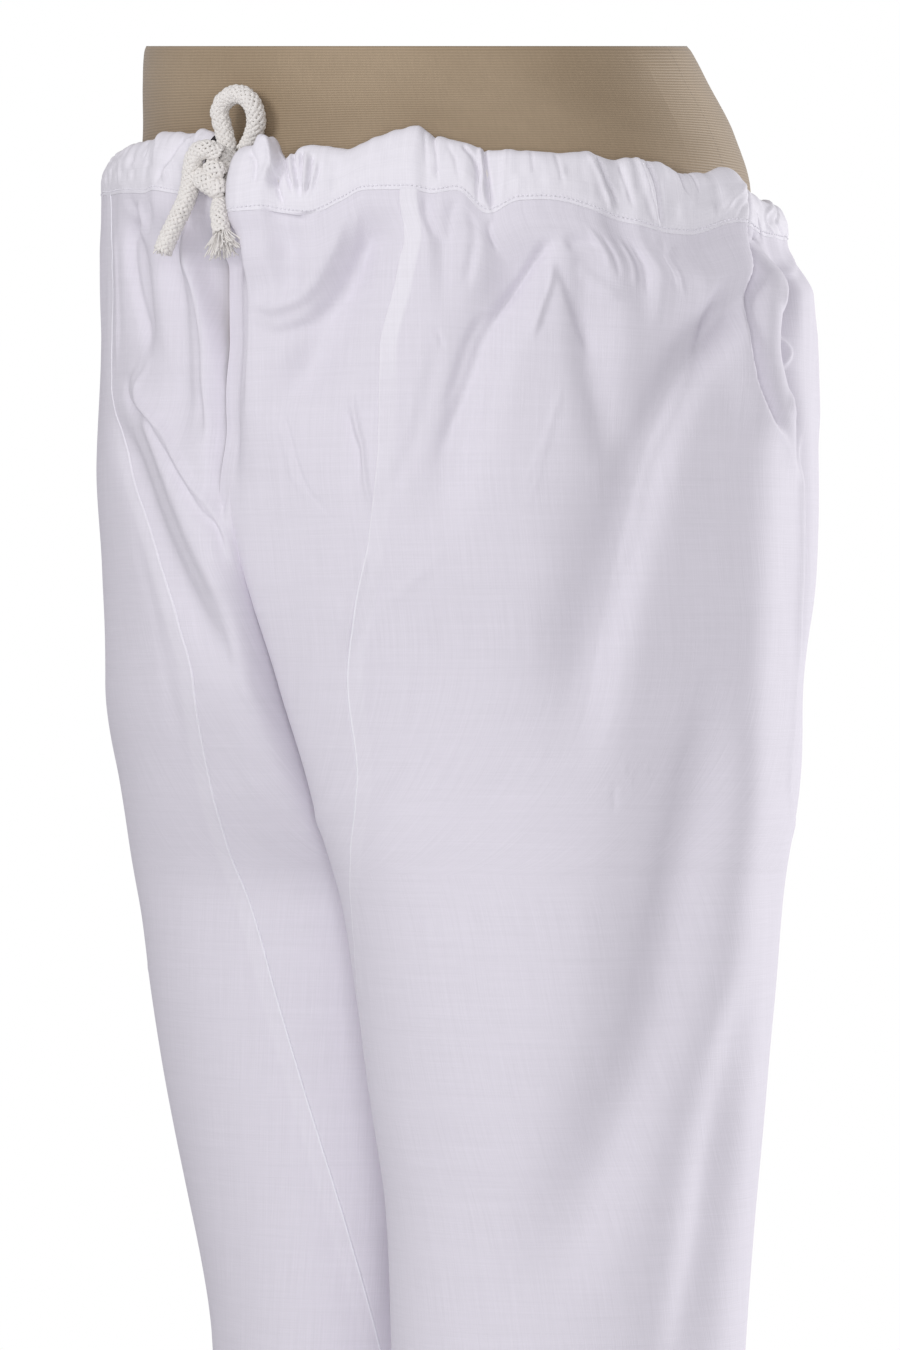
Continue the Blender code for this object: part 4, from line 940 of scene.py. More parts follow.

# Wrinkles, listed one by one: depth, half width towards the front and towards the back in mm, then
# the upper end as s and z, and the steps in s and z from place to place
LEFT_WRINKLES = (
    (-2.97, 1, 1, 75, 1094, 7.5, -11, 6.2, -10), (-2.56, 0.8, 1, 85, 1093, 5, -11, 2.5, -11),
    (-3.1, 1, 1, 93.8, 1091, 1.2, -11, 0, -10), (-2.7, 0.9, 1.1, 103.8, 1088, -1.3, -9, -3.7, -8),
    (-2.16, 1, 1.2, 112.5, 1087, -3.8, -9, -4.9, -7), (1.62, 1.2, 1.2, 81.3, 1094, 5, -11, 3.7, -10),
    (1.49, 1.1, 1.1, 98.8, 1089, 0, -9, -2.5, -8), (-2.16, 1.2, 0.8, 68.8, 1084, 4.9, -8, 6.3, -9),
    (-2.03, 2.2, 1, 61.2, 1065, 8.8, -3, 18, 0, 15, 2, 10, 0),
    (4.32, 2.6, 0.9, 55, 1094, 11.3, -3, 3.7, -6, -6.2, -11),
    (-3.24, 0.9, 1.8, 70, 1094, 5, -7, -7.5, -14), (-1.89, 1.2, 0.9, 50, 1090, 6.3, -7, 0, -9),
    (-1.22, 0.8, 0.8, 221.3, 1094, 5, -13, 1.2, -13), (-0.54, 0.8, 0.8, 212.5, 1093, 2.5, -7, 1.2, -9),
    (0.68, 1.6, 1.6, 216.2, 1094, 3.8, -12, 1.3, -12),
    (-1.76, 1, 1.2, 250, 1091, 8.7, -4, 5, -7, -1.2, -7, 0.5, -9),
    (1.76, 1.4, 1, 265, 1093, 2.5, -10, 0, -9, 3.7, -8),
    (-2.97, 1, 1.6, 267.5, 1093, 3.7, -12, 2.5, -10, 4.3, -9),
    (-1.22, 1.6, 1.2, 278, 1062, -10, -10, -3, -12), (-0.68, 1.2, 1.2, 236.3, 1089, 7.4, -9, 2.5, -11),
    (0.68, 1.4, 1.4, 287.5, 1093, -1.2, -14, -2.5, -13),
    (-1.35, 0.9, 1.4, 372.5, 1092, 6.3, -9, 6.2, -6, 5, -8),
    (1.22, 1.8, 1, 366.3, 1091, 7.5, -10, 6.2, -8, 5, -8),
    (-1.08, 0.9, 1.3, 393.7, 1090, 3.8, -9, 5, -10),
    (-2.03, 0.9, 1.8, 421.3, 1092, 3.7, -7, 2.5, -8, 2.5, -12),
    (1.49, 2.2, 1, 413.8, 1093, 3.7, -10, 5, -9, 7.5, -10),
    (-0.94, 0.8, 1.2, 457.5, 1093, 1.2, -5, 5, -6), (-0.68, 0.8, 1.2, 471.3, 1094, 1.2, -5, 3.8, -6),
    (1.22, 1.6, 1.8, 537.5, 1094, -32.5, -16, -17.5, -12),
    (-0.94, 1.2, 1.4, 552.5, 1094, -36.3, -20, -11.2, -12),
    (-0.68, 1.2, 1.2, 333.7, 1092, 2.5, -10, 2.5, -8), (-0.54, 1, 1, 311.3, 1093, 1.2, -8, 1.3, -7),
    (-1.62, 0.9, 1.2, 545, 1078, 12.5, -3, 5, -5, 5.5, -6, -51, -10),
    (-1.35, 1, 1.2, 618.8, 1092, -25, -16, 34.2, -12),
    (1.22, 1.2, 1.2, 607.5, 1094, -30, -18, 17.5, -12),
    (-1.22, 1, 1.4, 662.5, 1087, -20, -15, -32.5, -14), (-2.16, 2.4, 3, 547.5, 1065, 4.5, -5, -37, -10),
    (2.03, 3.4, 1.6, 670, 1062, -133, -38, 41, -28, -43, -41, 55, -22),
    (2.03, 5, 1.3, 593, 931, -10, -34, 5, -33, 7, -32, 13, -32),
    (1.08, 5, 1.4, 588, 842, 12, -30, 0, -32, -7, -37, 82, -34),
    (-2.56, 1.3, 8, 598, 937, 0, -40, 5, -33, 10, -32, 17, -32),
    (-1.22, 1.6, 1.6, 217, 1062, -7, -14, 2, -10), (-1.08, 2, 2, 245, 1060, -15, -12, -7, -12),
    (-1.76, 3, 3, 255, 1058, -8, -18, -7, -18, -5, -12), (0.94, 2.5, 2.5, 230, 1060, -10, -12, -3, -10),
    (-3.51, 3, 2.2, 323, 1044, -13, -4, -13, -8, -14, -12, -18, -18, -12, -14),
    (-2.16, 3.5, 3.5, 265, 1002, -18, -22, -12, -23, -15, -26, -8, -20),
    (-1.62, 2.2, 3, 258, 1000, -13, -8, -12, -18, -8, -17, -8, -16),
    (2.43, 2.6, 2.2, 312, 1034, -2, -10, -8, -16, -10, -22),
    (-1.62, 2.2, 5, 315, 1034, 8, -14, 10, -18, 12, -24), (-1.76, 3, 3, 325, 1040, 15, 4, 17, 2),
    (1.22, 4, 3, 333, 1032, 17, -8, 22, -8),
    (-1.35, 5, 5, 215, 986, -7, -19, -10, -28, -13, -24, -15, -16, -7, -14),
    (-0.94, 1.4, 1.4, 205, 988, 7, -2, 3, -6, 0, -4), (0.47, 2, 2, 320, 961, -15, -34, -20, -34),
    (0.34, 1.6, 1.6, 310, 931, -10, -22, -12, -20),
    (1.89, 12, 12, 445, 1016, -32, -44, -35, -45, -23, -44, -22, -51),
    (1.08, 2, 1.2, 357, 1054, 3, -12, 2, -10), (-1.08, 1, 1.6, 365, 1052, 2, -12, 3, -12),
    (0.94, 2, 1.4, 385, 1054, 0, -14, 0, -16), (-0.94, 1, 2, 395, 1054, 0, -14, 0, -20),
    (1.08, 1.8, 1.2, 435, 1062, -18, -18, 5, -18), (-0.81, 1, 2, 450, 1062, -23, -16, 3, -24),
    (2.29, 9, 4.4, 512, 1058, -34, -14, -18, -18, -15, -38, -30, -49, -30, -52, -25, -53, -5, -58),
    (-1.49, 7, 12, 497, 1044, -7, -16, -12, -16, -25, -30, -31, -47, -24, -48, -26, -49),
    (3.24, 9, 3.4, 140, 1060, -12, -12, -10, -12, -15, -18, -20, -12, -21, -4, -22, 8),
    (-2.97, 3, 7, 163, 1060, -20, -18, -15, -16, -18, -20, -22, -14, -23, -4, -28, 6),
    (-1.62, 6, 6, 98.8, 1065, -8.8, -13, -13, -18),
    (-0.74, 0.9, 1.1, 60, 947, 10, -8, 7, -14, 6, -14, 9, -12, 13, -8, 15, -10),
    (0.41, 1.8, 1.8, 55, 945, 10, -10, 5, -12, 5, -14, 13, -14),
    (1.76, 2.4, 1.4, 135, 955, 5, -18, 7, -18, 3, -18, 2, -12),
    (-1.62, 4, 1.6, 130, 945, 5, -14, 8, -14, 2, -14), (0.68, 1.4, 1.4, 138, 1012, 9, 2, 11, -2),
    (0.47, 1.6, 1.6, 203, 862, -21, -12, -27, -14), (0.41, 1.6, 1.6, 223, 873, -25, -17, -25, -12),
    (0.74, 1.6, 1.2, 390, 755, 10, -4, 8, -6), (0.74, 1.6, 1.2, 405, 759, 10, -2, 10, -8),
    (-0.54, 1.6, 1.6, 385, 747, 5, -6, 3, -8), (-0.68, 2.5, 2.5, 212, 764, 8, -5, 8, -4),
    (0.38, 1, 1, 188, 761, 50, 0, 50, -2, 47, -2),
    (0.41, 1, 1, 133, 457, 164, 10, 88, 6, 97, -2, 163, -10),
    (-0.3, 1.4, 1.4, 62, 622, 248, 10, 57, -2), (1.35, 3, 2, 150, 873, -12, -21, -13, -22, -7, -20),
    (-1.08, 3, 3, 160, 862, -10, -20, -15, -20, -2, -26),
    (0.94, 5, 5, 193, 822, -11, -32, 3, -37, -150, -44),
    (2.8, 1.3, 6, 40, 1094, 0, -28, 0, -36, -4, -50, -6, -45),
    (-4.2, 6, 1.8, 28, 1062, 0, -32, -3, -50, -5, -40),
    (5.6, 13, 1.8, 522, 1094, 0, -14, -2, -14, -12, -21, -13, -23, -6, -26, 3, -27, 16, -26, 32, -17),
    (-4.2, 1.8, 5, 530, 1094, 0, -14, -2, -14, -12, -21, -13, -23, -6, -26, 3, -27, 16, -26, 32, -17),
)
RIGHT_WRINKLES = (
    (2.03, 1.8, 1.4, 56.3, 1090, 7.5, -4, 11.2, -8, 12.5, -10),
    (-1.62, 1.2, 1.4, 67.5, 1090, 7.5, -6, 11.3, -8, 10, -10),
    (1.08, 1.4, 1.4, 36.2, 1090, -2.4, -6, 6.2, -5), (-1.08, 1.2, 1.2, 48.8, 1092, -2.6, -6, 6.3, -5),
    (-0.81, 1.6, 1.6, 158.8, 1084, -31.3, -3, -30, -5), (0.81, 2, 2, 238.8, 1094, -57.6, -14, 1.3, -10),
    (-0.68, 1.4, 1.4, 256.2, 1090, -37.4, -11, 1.2, -10),
    (-0.81, 1.2, 1.2, 137.5, 1092, -10, -5, 1.3, -5), (0.81, 1.6, 1.6, 111.3, 1094, -8.8, -7, 5, -5),
    (-2.7, 4, 3, 170, 1062, -27, -10, 17, -12, -10, -22, -10, -16, -10, -14, -17, -14),
    (1.35, 2.4, 2.4, 138, 1060, -13, -12, 22, -8), (-1.22, 2.5, 2, 105, 1058, 10, -8, 13, -10),
    (1.35, 3, 3, 208, 1050, -23, -20, 0, -30, 5, -28),
    (0.94, 5, 5, 83, 1050, 12, -26, -5, -30, -7, -31),
    (2.16, 2.6, 1.6, 122, 982, -4, -8, 12, -13, -8, -8, -22, -10, -17, -8, -21, -14, -19, -14, -21, -14,
     -7, -8, -15, -21, 0, -14),
    (-2.7, 1.8, 3.5, 130, 978, 15, -9, 13, -10, -8, -8, -43, -10, -17, -10, -20, -12, -20, -14, -20, -16,
     -12, -8, -8, -21, -3, -16), (0.47, 1.2, 1.2, 68, 798, -28, 4, -33, 6),
    (0.27, 2.4, 2.4, 152, 501, -37, 12, -25, 8), (-0.81, 5, 5, 158, 887, -30, -43, 2, -48, 33, -49),
    (0.68, 5, 5, 65, 790, 33, -43, 65, -54),
    (-5.5, 3.5, 6.5, 46, 1030, -2, -30, -3, -30, -3, -25, -4, -20),
    (2, 8, 8, 78, 1030, -2, -30, -2, -40),
    (4, 1.5, 5, 52, 1060, -6, -15, -8, -20, -8, -25, -8, -28, -7, -24, -4, -13),
    (-3, 5, 1.6, 44, 1050, -6, -14, -8, -21, -8, -21, -8, -22),
)
WRINKLES = {"left": LEFT_WRINKLES, "right": RIGHT_WRINKLES}

# Wrinkles of the hidden sides: how many, how far back, their spreads of slant and bend, the ranges
# of their top and fall, of their width in mm and of its ratio on the two sides, and their depths
HIDDEN = (
    (22, 0.98, 0.022, 0.008, (1.035, 1.064), (0.030, 0.170), (2.0, 7.0), (0.5, 1.6), (-2.6, -1.7, 1.5)),
    (28, 0.985, 0.008, 0, (1.072, 1.082), (0.040, 0.075), (1.4, 3.2), (0.6, 1.5), (-2.2, -1.5, 1.3)),
)
HIDDEN_FROM = {"left": 0.66, "right": 0.30}
SEEDS = {"left": 1, "right": 2}
WRINKLE_STEP = 0.0022
WRINKLE_REACH = 2.6
WRINKLE_END_FADE = 0.3
WRINKLE_START_FADE = 0.25
WRINKLE_TIP = 0.12
FREE_TOP_Z = WAIST_Z - 0.008
RELIEF_FADE = 0.006


def reach_at(side, s, z):
    """How far round the whole half s lies, in metres on its longest level."""
    level = min(z, PANEL_TOP_Z)
    return full_share(side, s, level) * whole(side, level)[1]


def hidden_wrinkles(side):
    """Loose wrinkles for the sides that the photo doesn't show, like those it shows."""
    rng = np.random.default_rng(20 + SEEDS[side])
    first, gathers = HIDDEN_FROM[side], GATHERS[side]
    rows = []
    for mark in gathers["s"][(gathers["out"] < 0.4) & (gathers["s"] > first)]:
        for _ in range(3):
            low, slant = rng.uniform(-0.012, 0.008), rng.normal(0, 0.008)
            at = mark + rng.normal(0, 0.006)
            course = ((at, 1.094), (mark + slant / 2, 1.080), (mark + slant, 1.066 + low))
            sizes = [rng.uniform(0.9, 2.6), rng.uniform(0.8, 1.5), rng.uniform(0.8, 1.5)]
            rows.append((-sizes[0], *sizes[1:], np.array(course)))
    for _ in range(26):
        at, slant = rng.uniform(first, 0.99), rng.normal(0, 0.008)
        top = rng.uniform(1.080, 1.094)
        course = ((at, top), (at + slant / 2, top - 0.012), (at + slant, top - 0.024))
        sizes = [rng.uniform(-0.8, 0.6), rng.uniform(0.9, 1.8), rng.uniform(0.9, 1.8)]
        rows.append((*sizes, np.array(course)))
    for count, last, slants, bends, tops, falls, widths, ratios, depths in HIDDEN:
        for _ in range(count):
            at, slant = rng.uniform(first, last), rng.normal(0, slants)
            top, fall = rng.uniform(*tops), rng.uniform(*falls)
            middle = at + slant / 2 + (rng.normal(0, bends) if bends else 0)
            wide, depth = rng.uniform(*widths), rng.choice(depths)
            course = ((at, top), (middle, top - fall / 2), (at + slant, top - fall))
            rows.append((depth, wide, wide * rng.uniform(*ratios), np.array(course)))
    for _ in range(8):
        at, high = rng.uniform(first, 0.95), rng.uniform(0.25, 0.80)
        middle, end = high + rng.normal(0, 0.004), high + rng.normal(0, 0.006)
        rows.append((0.30, 1.3, 1.3, np.array(((at - 0.06, high), (at, middle), (at + 0.06, end)))))
    return rows


@functools.cache
def strokes(side):
    """Each wrinkle of one half as closely spaced points on the laid-out cloth, with its sizes."""
    made = []
    placed = [(*row[:3], np.cumsum(places(row[3:], 2), axis=0)) for row in WRINKLES[side]]
    for *sizes, points in (*placed, *hidden_wrinkles(side)):
        points = np.array([(reach_at(side, s, z), z) for s, z in points])
        along = np.cumsum([0, *np.maximum(np.linalg.norm(np.diff(points, axis=0), axis=1), 1e-5)])
        at = np.linspace(0, along[-1], max(7, min(90, round(along[-1] / WRINKLE_STEP))))
        line = np.stack([smooth(at, along, values) for values in points.T], axis=1)
        made.append((line, *np.array(sizes) / 1000, points[0, 1] > FREE_TOP_Z))
    return made


def wrinkle_depth(side, x, z):
    """How far the placed wrinkles move the cloth outwards along one level. One that starts at the
    waistband's upper edge is at its full depth there."""
    total = np.zeros(len(x))
    for line, depth, front, back, starts_at_top in strokes(side):
        reach = WRINKLE_REACH * max(front, back)
        low, high = line.min(axis=0) - reach, line.max(axis=0) + reach
        if z < low[1] or z > high[1]:
            continue
        use = np.flatnonzero((x > low[0]) & (x < high[0]))
        if not len(use):
            continue
        spot = np.stack([x[use], np.full(len(use), z)], axis=1)[:, None]
        way = np.diff(line, axis=0)[None]
        share = ((spot - line[:-1]) * way).sum(2) / np.maximum((way**2).sum(2), 1e-12)
        share = np.clip(share, 0, 1)
        gap = spot - (line[:-1] + share[..., None] * way)
        far = np.hypot(gap[..., 0], gap[..., 1])
        k, row = far.argmin(axis=1), np.arange(len(use))
        side_of = way[0, k, 0] * gap[row, k, 1] - way[0, k, 1] * gap[row, k, 0]
        t = (k + share[row, k]) / (len(line) - 1)
        fade = ease((1 - t) / WRINKLE_END_FADE + WRINKLE_TIP)
        if not starts_at_top:
            fade = fade * ease(t / WRINKLE_START_FADE + WRINKLE_TIP)
        total[use] += depth * fade * hump(far[row, k], np.where(side_of > 0, back, front))
    return total


def fine_depth(side, s, z):
    """Small relief on top of the large folds: slack ripples, puckers and placed wrinkles."""
    x = reach_at(side, s, z)
    seed = 10 + SEEDS[side]
    depth = wrinkle_depth(side, x, z)
    for rise, wide, slant, tall, more in SLACK:
        depth = depth + rise * ripple(x / wide + slant * z, z / tall, seed + more)
    rise, wide, tall, more = TIGHT
    near = ease((z - PANEL_TOP_Z) / TIGHT_REACH + 1)
    near = near * (1 - 0.5 * ease((z - PANEL_TOP_Z) / TIGHT_FADE))
    return depth + rise * near * ripple(x / wide, z / tall, seed + more)


def way_out(side, s, z):
    """The level direction away from the leg at s, on the half's own side."""
    return mirrored(side, outward(section(side, z)[0], s))


def cloth_row(side, s, z):
    """One fine row of the cloth's outer side on one half."""
    row = surface(side, s, z)
    depth = fine_depth(side, s, z) * ease(np.abs(row[:, 0]) / RELIEF_FADE)
    row[:, :2] += depth[:, None] * way_out(side, s, z)
    tuck = TUCK * hump(z - TUCK_Z, TUCK_TALL)
    row[:, 1] += tuck * hump(row[:, 0], TUCK_WIDE) * (row[:, 1] < 0)
    return row


def stepped(spans, stretch=1.0):
    """Places from span to span, at about the step of each."""
    parts = []
    for low, high, step in spans:
        parts.append(np.linspace(low, high, round((high - low) * stretch / step) + 1)[:-1])
    return np.concatenate([*parts, [spans[-1][1]]])


def normals_of(side, grid):
    normal = unit(np.cross(np.gradient(grid, axis=1), np.gradient(grid, axis=0)))
    return -normal if side == "right" else normal


def cloth_object(name, side, grid, flat, layers_and_highlight, material):
    """A mesh of one cloth layer. flat is (across, up) on the flat cloth. layers_and_highlight is 0 for
    one layer and 1 for two, and up to 2 where a highlight is painted along a folded edge."""
    if side == "left":
        grid, flat, layers_and_highlight = grid[:, ::-1], flat[:, ::-1], layers_and_highlight[:, ::-1]
    rows, columns = grid.shape[:2]
    index = np.arange(rows * columns).reshape(rows, columns)
    faces = np.stack([index[:-1, :-1], index[:-1, 1:], index[1:, 1:], index[1:, :-1]], axis=-1)
    obj = mesh_object(name, grid, faces.reshape(-1, 4).tolist(), material)
    mesh = obj.data
    corners = np.empty(len(mesh.loops), np.int32)
    mesh.loops.foreach_get("vertex_index", corners)
    layer = mesh.uv_layers.new(name="cloth")
    layer.data.foreach_set("uv", flat.reshape(-1, 2)[corners].astype(np.float32).ravel())
    layer_highlight_mask = mesh.attributes.new("layers_and_highlight", "FLOAT", "POINT")
    layer_highlight_mask.data.foreach_set("value", layers_and_highlight.reshape(-1).astype(np.float32))
    return obj


def edge_turned(side, s, z, point):
    """A place just inside the cloth's edge at (s, z): straight in, without crossing the middle."""
    if z > CROTCH_Z and (s < 0.0005 or s > 0.9995):
        return point + [FRONT_TURN_OUT[side], FRONT_TURN_IN if s < 0.5 else -FRONT_TURN_IN, 0.0]
    return point - TURN_IN * np.array([*way_out(side, np.array([s]), z)[0], 0])


def near_edge(edge, reach, soft):
    """1 within reach of an edge and 0 beyond it."""
    return 1 - ease((edge - reach) / soft + 0.5)


def make_panel(side, kind, cotton):
    """One panel of a half as a fine layer of cloth with its edges turned under."""
    first, last, bottom = PANELS[kind]
    heights = stepped(LEVELS)
    heights = heights[heights > bottom - 1e-6]
    columns = stepped(COLUMN_STEPS[f"{kind}_{side}"], COUNT_LENGTH[kind])
    near = NEAR_EDGE / COUNT_LENGTH[kind]
    columns = np.sort(np.concatenate([columns, near, 1 - near]))
    lengths = np.array([section(side, z)[1] for z in heights])
    starts = np.array([edge_place(side, z, first) for z in heights])
    starts = starts + (-UNDERLAP if kind == "back_kali" else EDGE_GAP / 2) / lengths
    ends = np.array([edge_place(side, z, last) for z in heights])
    ends = ends + (UNDERLAP if kind == "front_kali" else -EDGE_GAP / 2) / lengths
    s = starts[:, None] + (ends - starts)[:, None] * columns
    grid = np.array([cloth_row(side, row, z) for row, z in zip(s, heights)])
    normal = normals_of(side, grid)
    lengths = lengths[:, None]
    to_first, to_last = (s - starts[:, None]) * lengths, (ends[:, None] - s) * lengths
    edge = np.minimum(to_first, to_last)
    at_seam = {"leg": True, "front_kali": to_last < to_first, "back_kali": to_first < to_last}
    seamed = np.ones(edge.shape) * at_seam[kind]
    under = 0 if kind == "leg" else UNDERLAP
    dip = SEAM_DIP[kind] * seamed * (1 - np.clip((edge - under) / SEAM_ROUND, 0, 1)) ** 2
    wavy = ripple(heights[:, None] / PUCKER_EVERY, edge * 0 + 0.3, 41)
    wavy = PUCKER_RISE * wavy * np.exp(-edge / PUCKER_REACH) * seamed
    grid = grid + normal * (wavy - dip)[..., None]
    layers_and_highlight = np.zeros(edge.shape)
    if kind == "leg":
        layers_and_highlight = near_edge(edge, ALLOWANCE, ALLOWANCE_SOFT)
        low, high = PRESSED[side]
        pressed = low + (high - low) * ease((heights - PRESSED_Z) / PRESSED_FADE)
        layers_and_highlight = layers_and_highlight * pressed[:, None]
        # A highlight is painted along the folded edge at the seam, stronger at some heights, as values up
        # to 2
        pale = 1 + np.interp(heights, EDGE_HEIGHTS, EDGE_HIGHLIGHT[side])[:, None]
        layers_and_highlight = np.maximum(layers_and_highlight, pale * near_edge(edge, HIGHLIGHT_REACH, HIGHLIGHT_SOFT))
        grid = grid + normal * (ALLOWANCE_RISE * np.minimum(layers_and_highlight, 1))[..., None]
    flat = np.stack([s * lengths, np.repeat(heights[:, None], len(columns), axis=1)], axis=-1)
    turned = [
        np.array([edge_turned(side, *spot) for spot in zip(edges, heights, grid[:, k])])[:, None]
        for k, edges in ((0, starts), (-1, ends))
    ]
    grid = np.concatenate([turned[0], grid, turned[1]], axis=1)
    normal, flat = (np.pad(part, ((0, 0), (1, 1), (0, 0)), mode="edge") for part in (normal, flat))
    flat[:, 0, 0] -= TURN_FLAT
    flat[:, -1, 0] += TURN_FLAT
    layers_and_highlight = np.pad(layers_and_highlight, ((0, 0), (1, 1)), mode="edge")
    if kind == "leg":
        layers_and_highlight[heights < HEM_Z + HEM_TURN_UP] = 1
        inside = [grid[0] + [0, 0, up] - normal[0] * deep for up, deep in HEM_ROWS]
        grid = np.concatenate([inside, grid])
        flat = np.concatenate([[flat[0] - [0, up + 0.001] for up, _ in HEM_ROWS], flat])
        layers_and_highlight = np.pad(layers_and_highlight, ((len(HEM_ROWS), 0), (0, 0)), constant_values=1)
    return cloth_object(f"{kind}_{side}_cloth", side, grid, flat, layers_and_highlight, cotton)


def make_panels(side, cotton, thread):
    for kind in PANELS:
        obj = worn(make_panel(side, kind, cotton), f"{kind}_{side}")
        stitched = [hem_stitches(side, thread)] if kind == "leg" else []


# The waistband. BAND_SPANS are (from, to, points) along its profile.
BAND_STEP = 0.00075
BAND_SPANS = ((0, 0.0036, 9), (0.0036, 0.046, 34))
BAND_LAST_POINTS = 8
BAND_SEAM = 0.0016
BAND_JOIN_FADE = 0.006
BAND_LOWER = (0.0009, 0.0005)
BAND_LOWER_UPS = (-0.0018, -0.0013, -0.0005)
BAND_LIFTS = np.array([0.00003, 0.00003, 0.00002])
BAND_TUCK = 0.0004
INSIDE_FADE = 3
RUFFLE = (0.0007, 0.0050, 0.009)
RUFFLE_FADE = 0.012
SEAM_SINK = 0.00005
SEAM_WIDE = 0.0008
PULL = 0.00010
PULL_WIDE = 0.0016
STITCH_EVERY = 0.0024
STITCH_LONG = 0.0013
STITCH_THICK = (0.00034, 0.00024)
STITCH_OFF = 0.00012
HEM_STITCH_OFF = 0.0001
HEM_STITCH_IN = 0.0018
STITCH_SHARES = np.array([-0.5, -0.28, 0.0, 0.28, 0.5])
STITCH_RISE = 0.0002 * np.array([-1.2, 0.5, 1.0, 0.5, -1.2])
FLAP_TRIM = ((0.040, 0.013, -0.0050), (0.066, 0.004, 0.0022), (0.080, 0.007, -0.0025))


def band_profile():
    """The waistband's cross-section as fine points (out, up, gather), the way out of the cloth
    there, and how far along it they lie."""
    chords = running(CASING_PROFILE[:, :2])
    at = [np.linspace(*span)[:-1] for span in BAND_SPANS]
    at = np.concatenate([*at, np.linspace(BAND_SPANS[-1][1], chords[-1], BAND_LAST_POINTS)])
    line = np.stack([smooth(at, chords, values) for values in CASING_PROFILE.T], axis=1)
    way = unit(np.gradient(line[:, :2], at, axis=0))
    return line, np.stack([way[:, 1], -way[:, 0]], axis=1), at


def stitches(name, line, normal, thread):
    """A row of short raised stitches along a line of points."""
    along = running(line)
    bundle = Bundle()
    for middle in np.arange(STITCH_EVERY, along[-1] - STITCH_EVERY, STITCH_EVERY):
        at = middle + STITCH_LONG * STITCH_SHARES
        up = unit(between(at, along, normal))
        points = between(at, along, line) + up * STITCH_RISE[:, None]
        bundle.add(tube(points, *STITCH_THICK, 6, up))
    return bundle.make(name, thread, "cotton")


def hem_stitches(side, thread):
    z = HEM_Z + HEM_TURN_UP - HEM_STITCH_IN
    s = np.linspace(0.001, 0.999, 500)
    normal = np.column_stack([way_out(side, s, z), np.zeros(len(s))])
    return stitches(f"hem_stitches_{side}", cloth_row(side, s, z) + HEM_STITCH_OFF * normal, normal, thread)


def make_band(side, cotton, thread):
    """The waistband of one half: its channel, the join onto the panels and a row of stitches."""
    ring, length = casing_ring(side)
    profile, ways, along = band_profile()
    s = np.linspace(CASING_SLIT[side] / length, 1 - EDGE_GAP / 2 / length, round(length / BAND_STEP))
    centre, way = read(ring, s), outward(ring, s)
    wave = GATHER_OUT * (gathered(side, s, "out") - GATHER_MEAN)
    bottom, top = stitch_height(side, s), waist_height(side, s)
    for at, spread, lift in FLAP_TRIM if side == "left" else ():
        top = top + lift * hump(s - at, spread)
    crest = int(np.argmax(profile[:, 1]))
    every = np.sin(2 * math.pi * s * length / STITCH_EVERY)
    rise, wide, tall = RUFFLE
    rows = []
    for k, ((out, up, gathers), (n_out, n_up)) in enumerate(zip(profile, ways)):
        relief = fine_depth(side, s, PANEL_TOP_Z + (up if k <= crest else CASING_HEIGHT))
        if k > crest:
            relief = relief * math.exp((crest - k) / INSIDE_FADE)
        else:
            away = along[k] - BAND_SEAM
            relief = relief - SEAM_SINK * hump(away, SEAM_WIDE) + PULL * every * hump(away, PULL_WIDE)
        ruffle = ripple(s * length / wide, up / tall, 30 + SEEDS[side])
        relief = relief + rise * ruffle * ease(up / RUFFLE_FADE)
        level = centre + (out + wave * gathers + relief * n_out)[:, None] * way
        height = bottom + (top - bottom) * up / CASING_HEIGHT + relief * n_up
        rows.append(np.column_stack([level, height]))
    grid = mirrored(side, np.array(rows))
    lower = [cloth_row(side, s, PANEL_TOP_Z - step) for step in BAND_LOWER]
    join = (grid[0] - lower[-1]) * [1, 1, 0]
    grid = grid - np.exp(-along / BAND_JOIN_FADE)[:, None, None] * join
    grid = np.concatenate([lower, grid])
    normal = normals_of(side, grid)
    grid[:3] += normal[:3] * BAND_LIFTS[:, None, None]
    edge = grid[:1] - normal[:1] * BAND_TUCK + [0, 0, BAND_TUCK]
    grid = np.concatenate([edge, grid])
    up = np.concatenate([BAND_LOWER_UPS, along]) + PANEL_TOP_Z
    flat = np.stack(np.meshgrid(s * length, up), axis=-1)
    layers_and_highlight = np.ones(grid.shape[:2])
    obj = cloth_object(f"waistband_{side}", side, grid, flat, layers_and_highlight, cotton)
    worn(obj, f"casing_{side}")
    row = stitches(f"waist_stitches_{side}", grid[5] + STITCH_OFF * normal[4], normal[4], thread)
    width, height, area = FLAT_CUTS[f"waistband_{side}"]


# The dress form: level ellipses. Its top leans: it is lower towards the front and towards the
# wearer's left. Its two ends are closed by rings that narrow, as (share, way up on the flat cover).
FORM_SECTIONS = table("z wide deep centre_y", (
    (840, 150, 118, -6), (843, 166, 131, -6), (852, 178, 141, -6), (880, 185, 147, -7),
    (960, 185.5, 146.8, -8), (1020, 184.9, 146.3, -9), (1062, 184.2, 145.8, -9),
    (1095, 177.5, 140.8, -13), (1125, 170.5, 132.8, -23), (1143.2, 166, 126.5, -29),
    (1146.2, 164.2, 124.7, -30),
))
FORM_LEAN = (-0.068, 0.0704)
FORM_LEAN_Z = 1.060
FORM_RING = 220
FORM_ROWS = (14, 130, 8)
FORM_LOW_EDGE = 0.02
FORM_TOP_EDGE = 0.006
FORM_ROUND = 0.16
END_SHARES = np.array([0.05, 0.2, 0.6, 0.999])
END_UPS = np.array([0.01, 0.03, 0.08, 0.15])


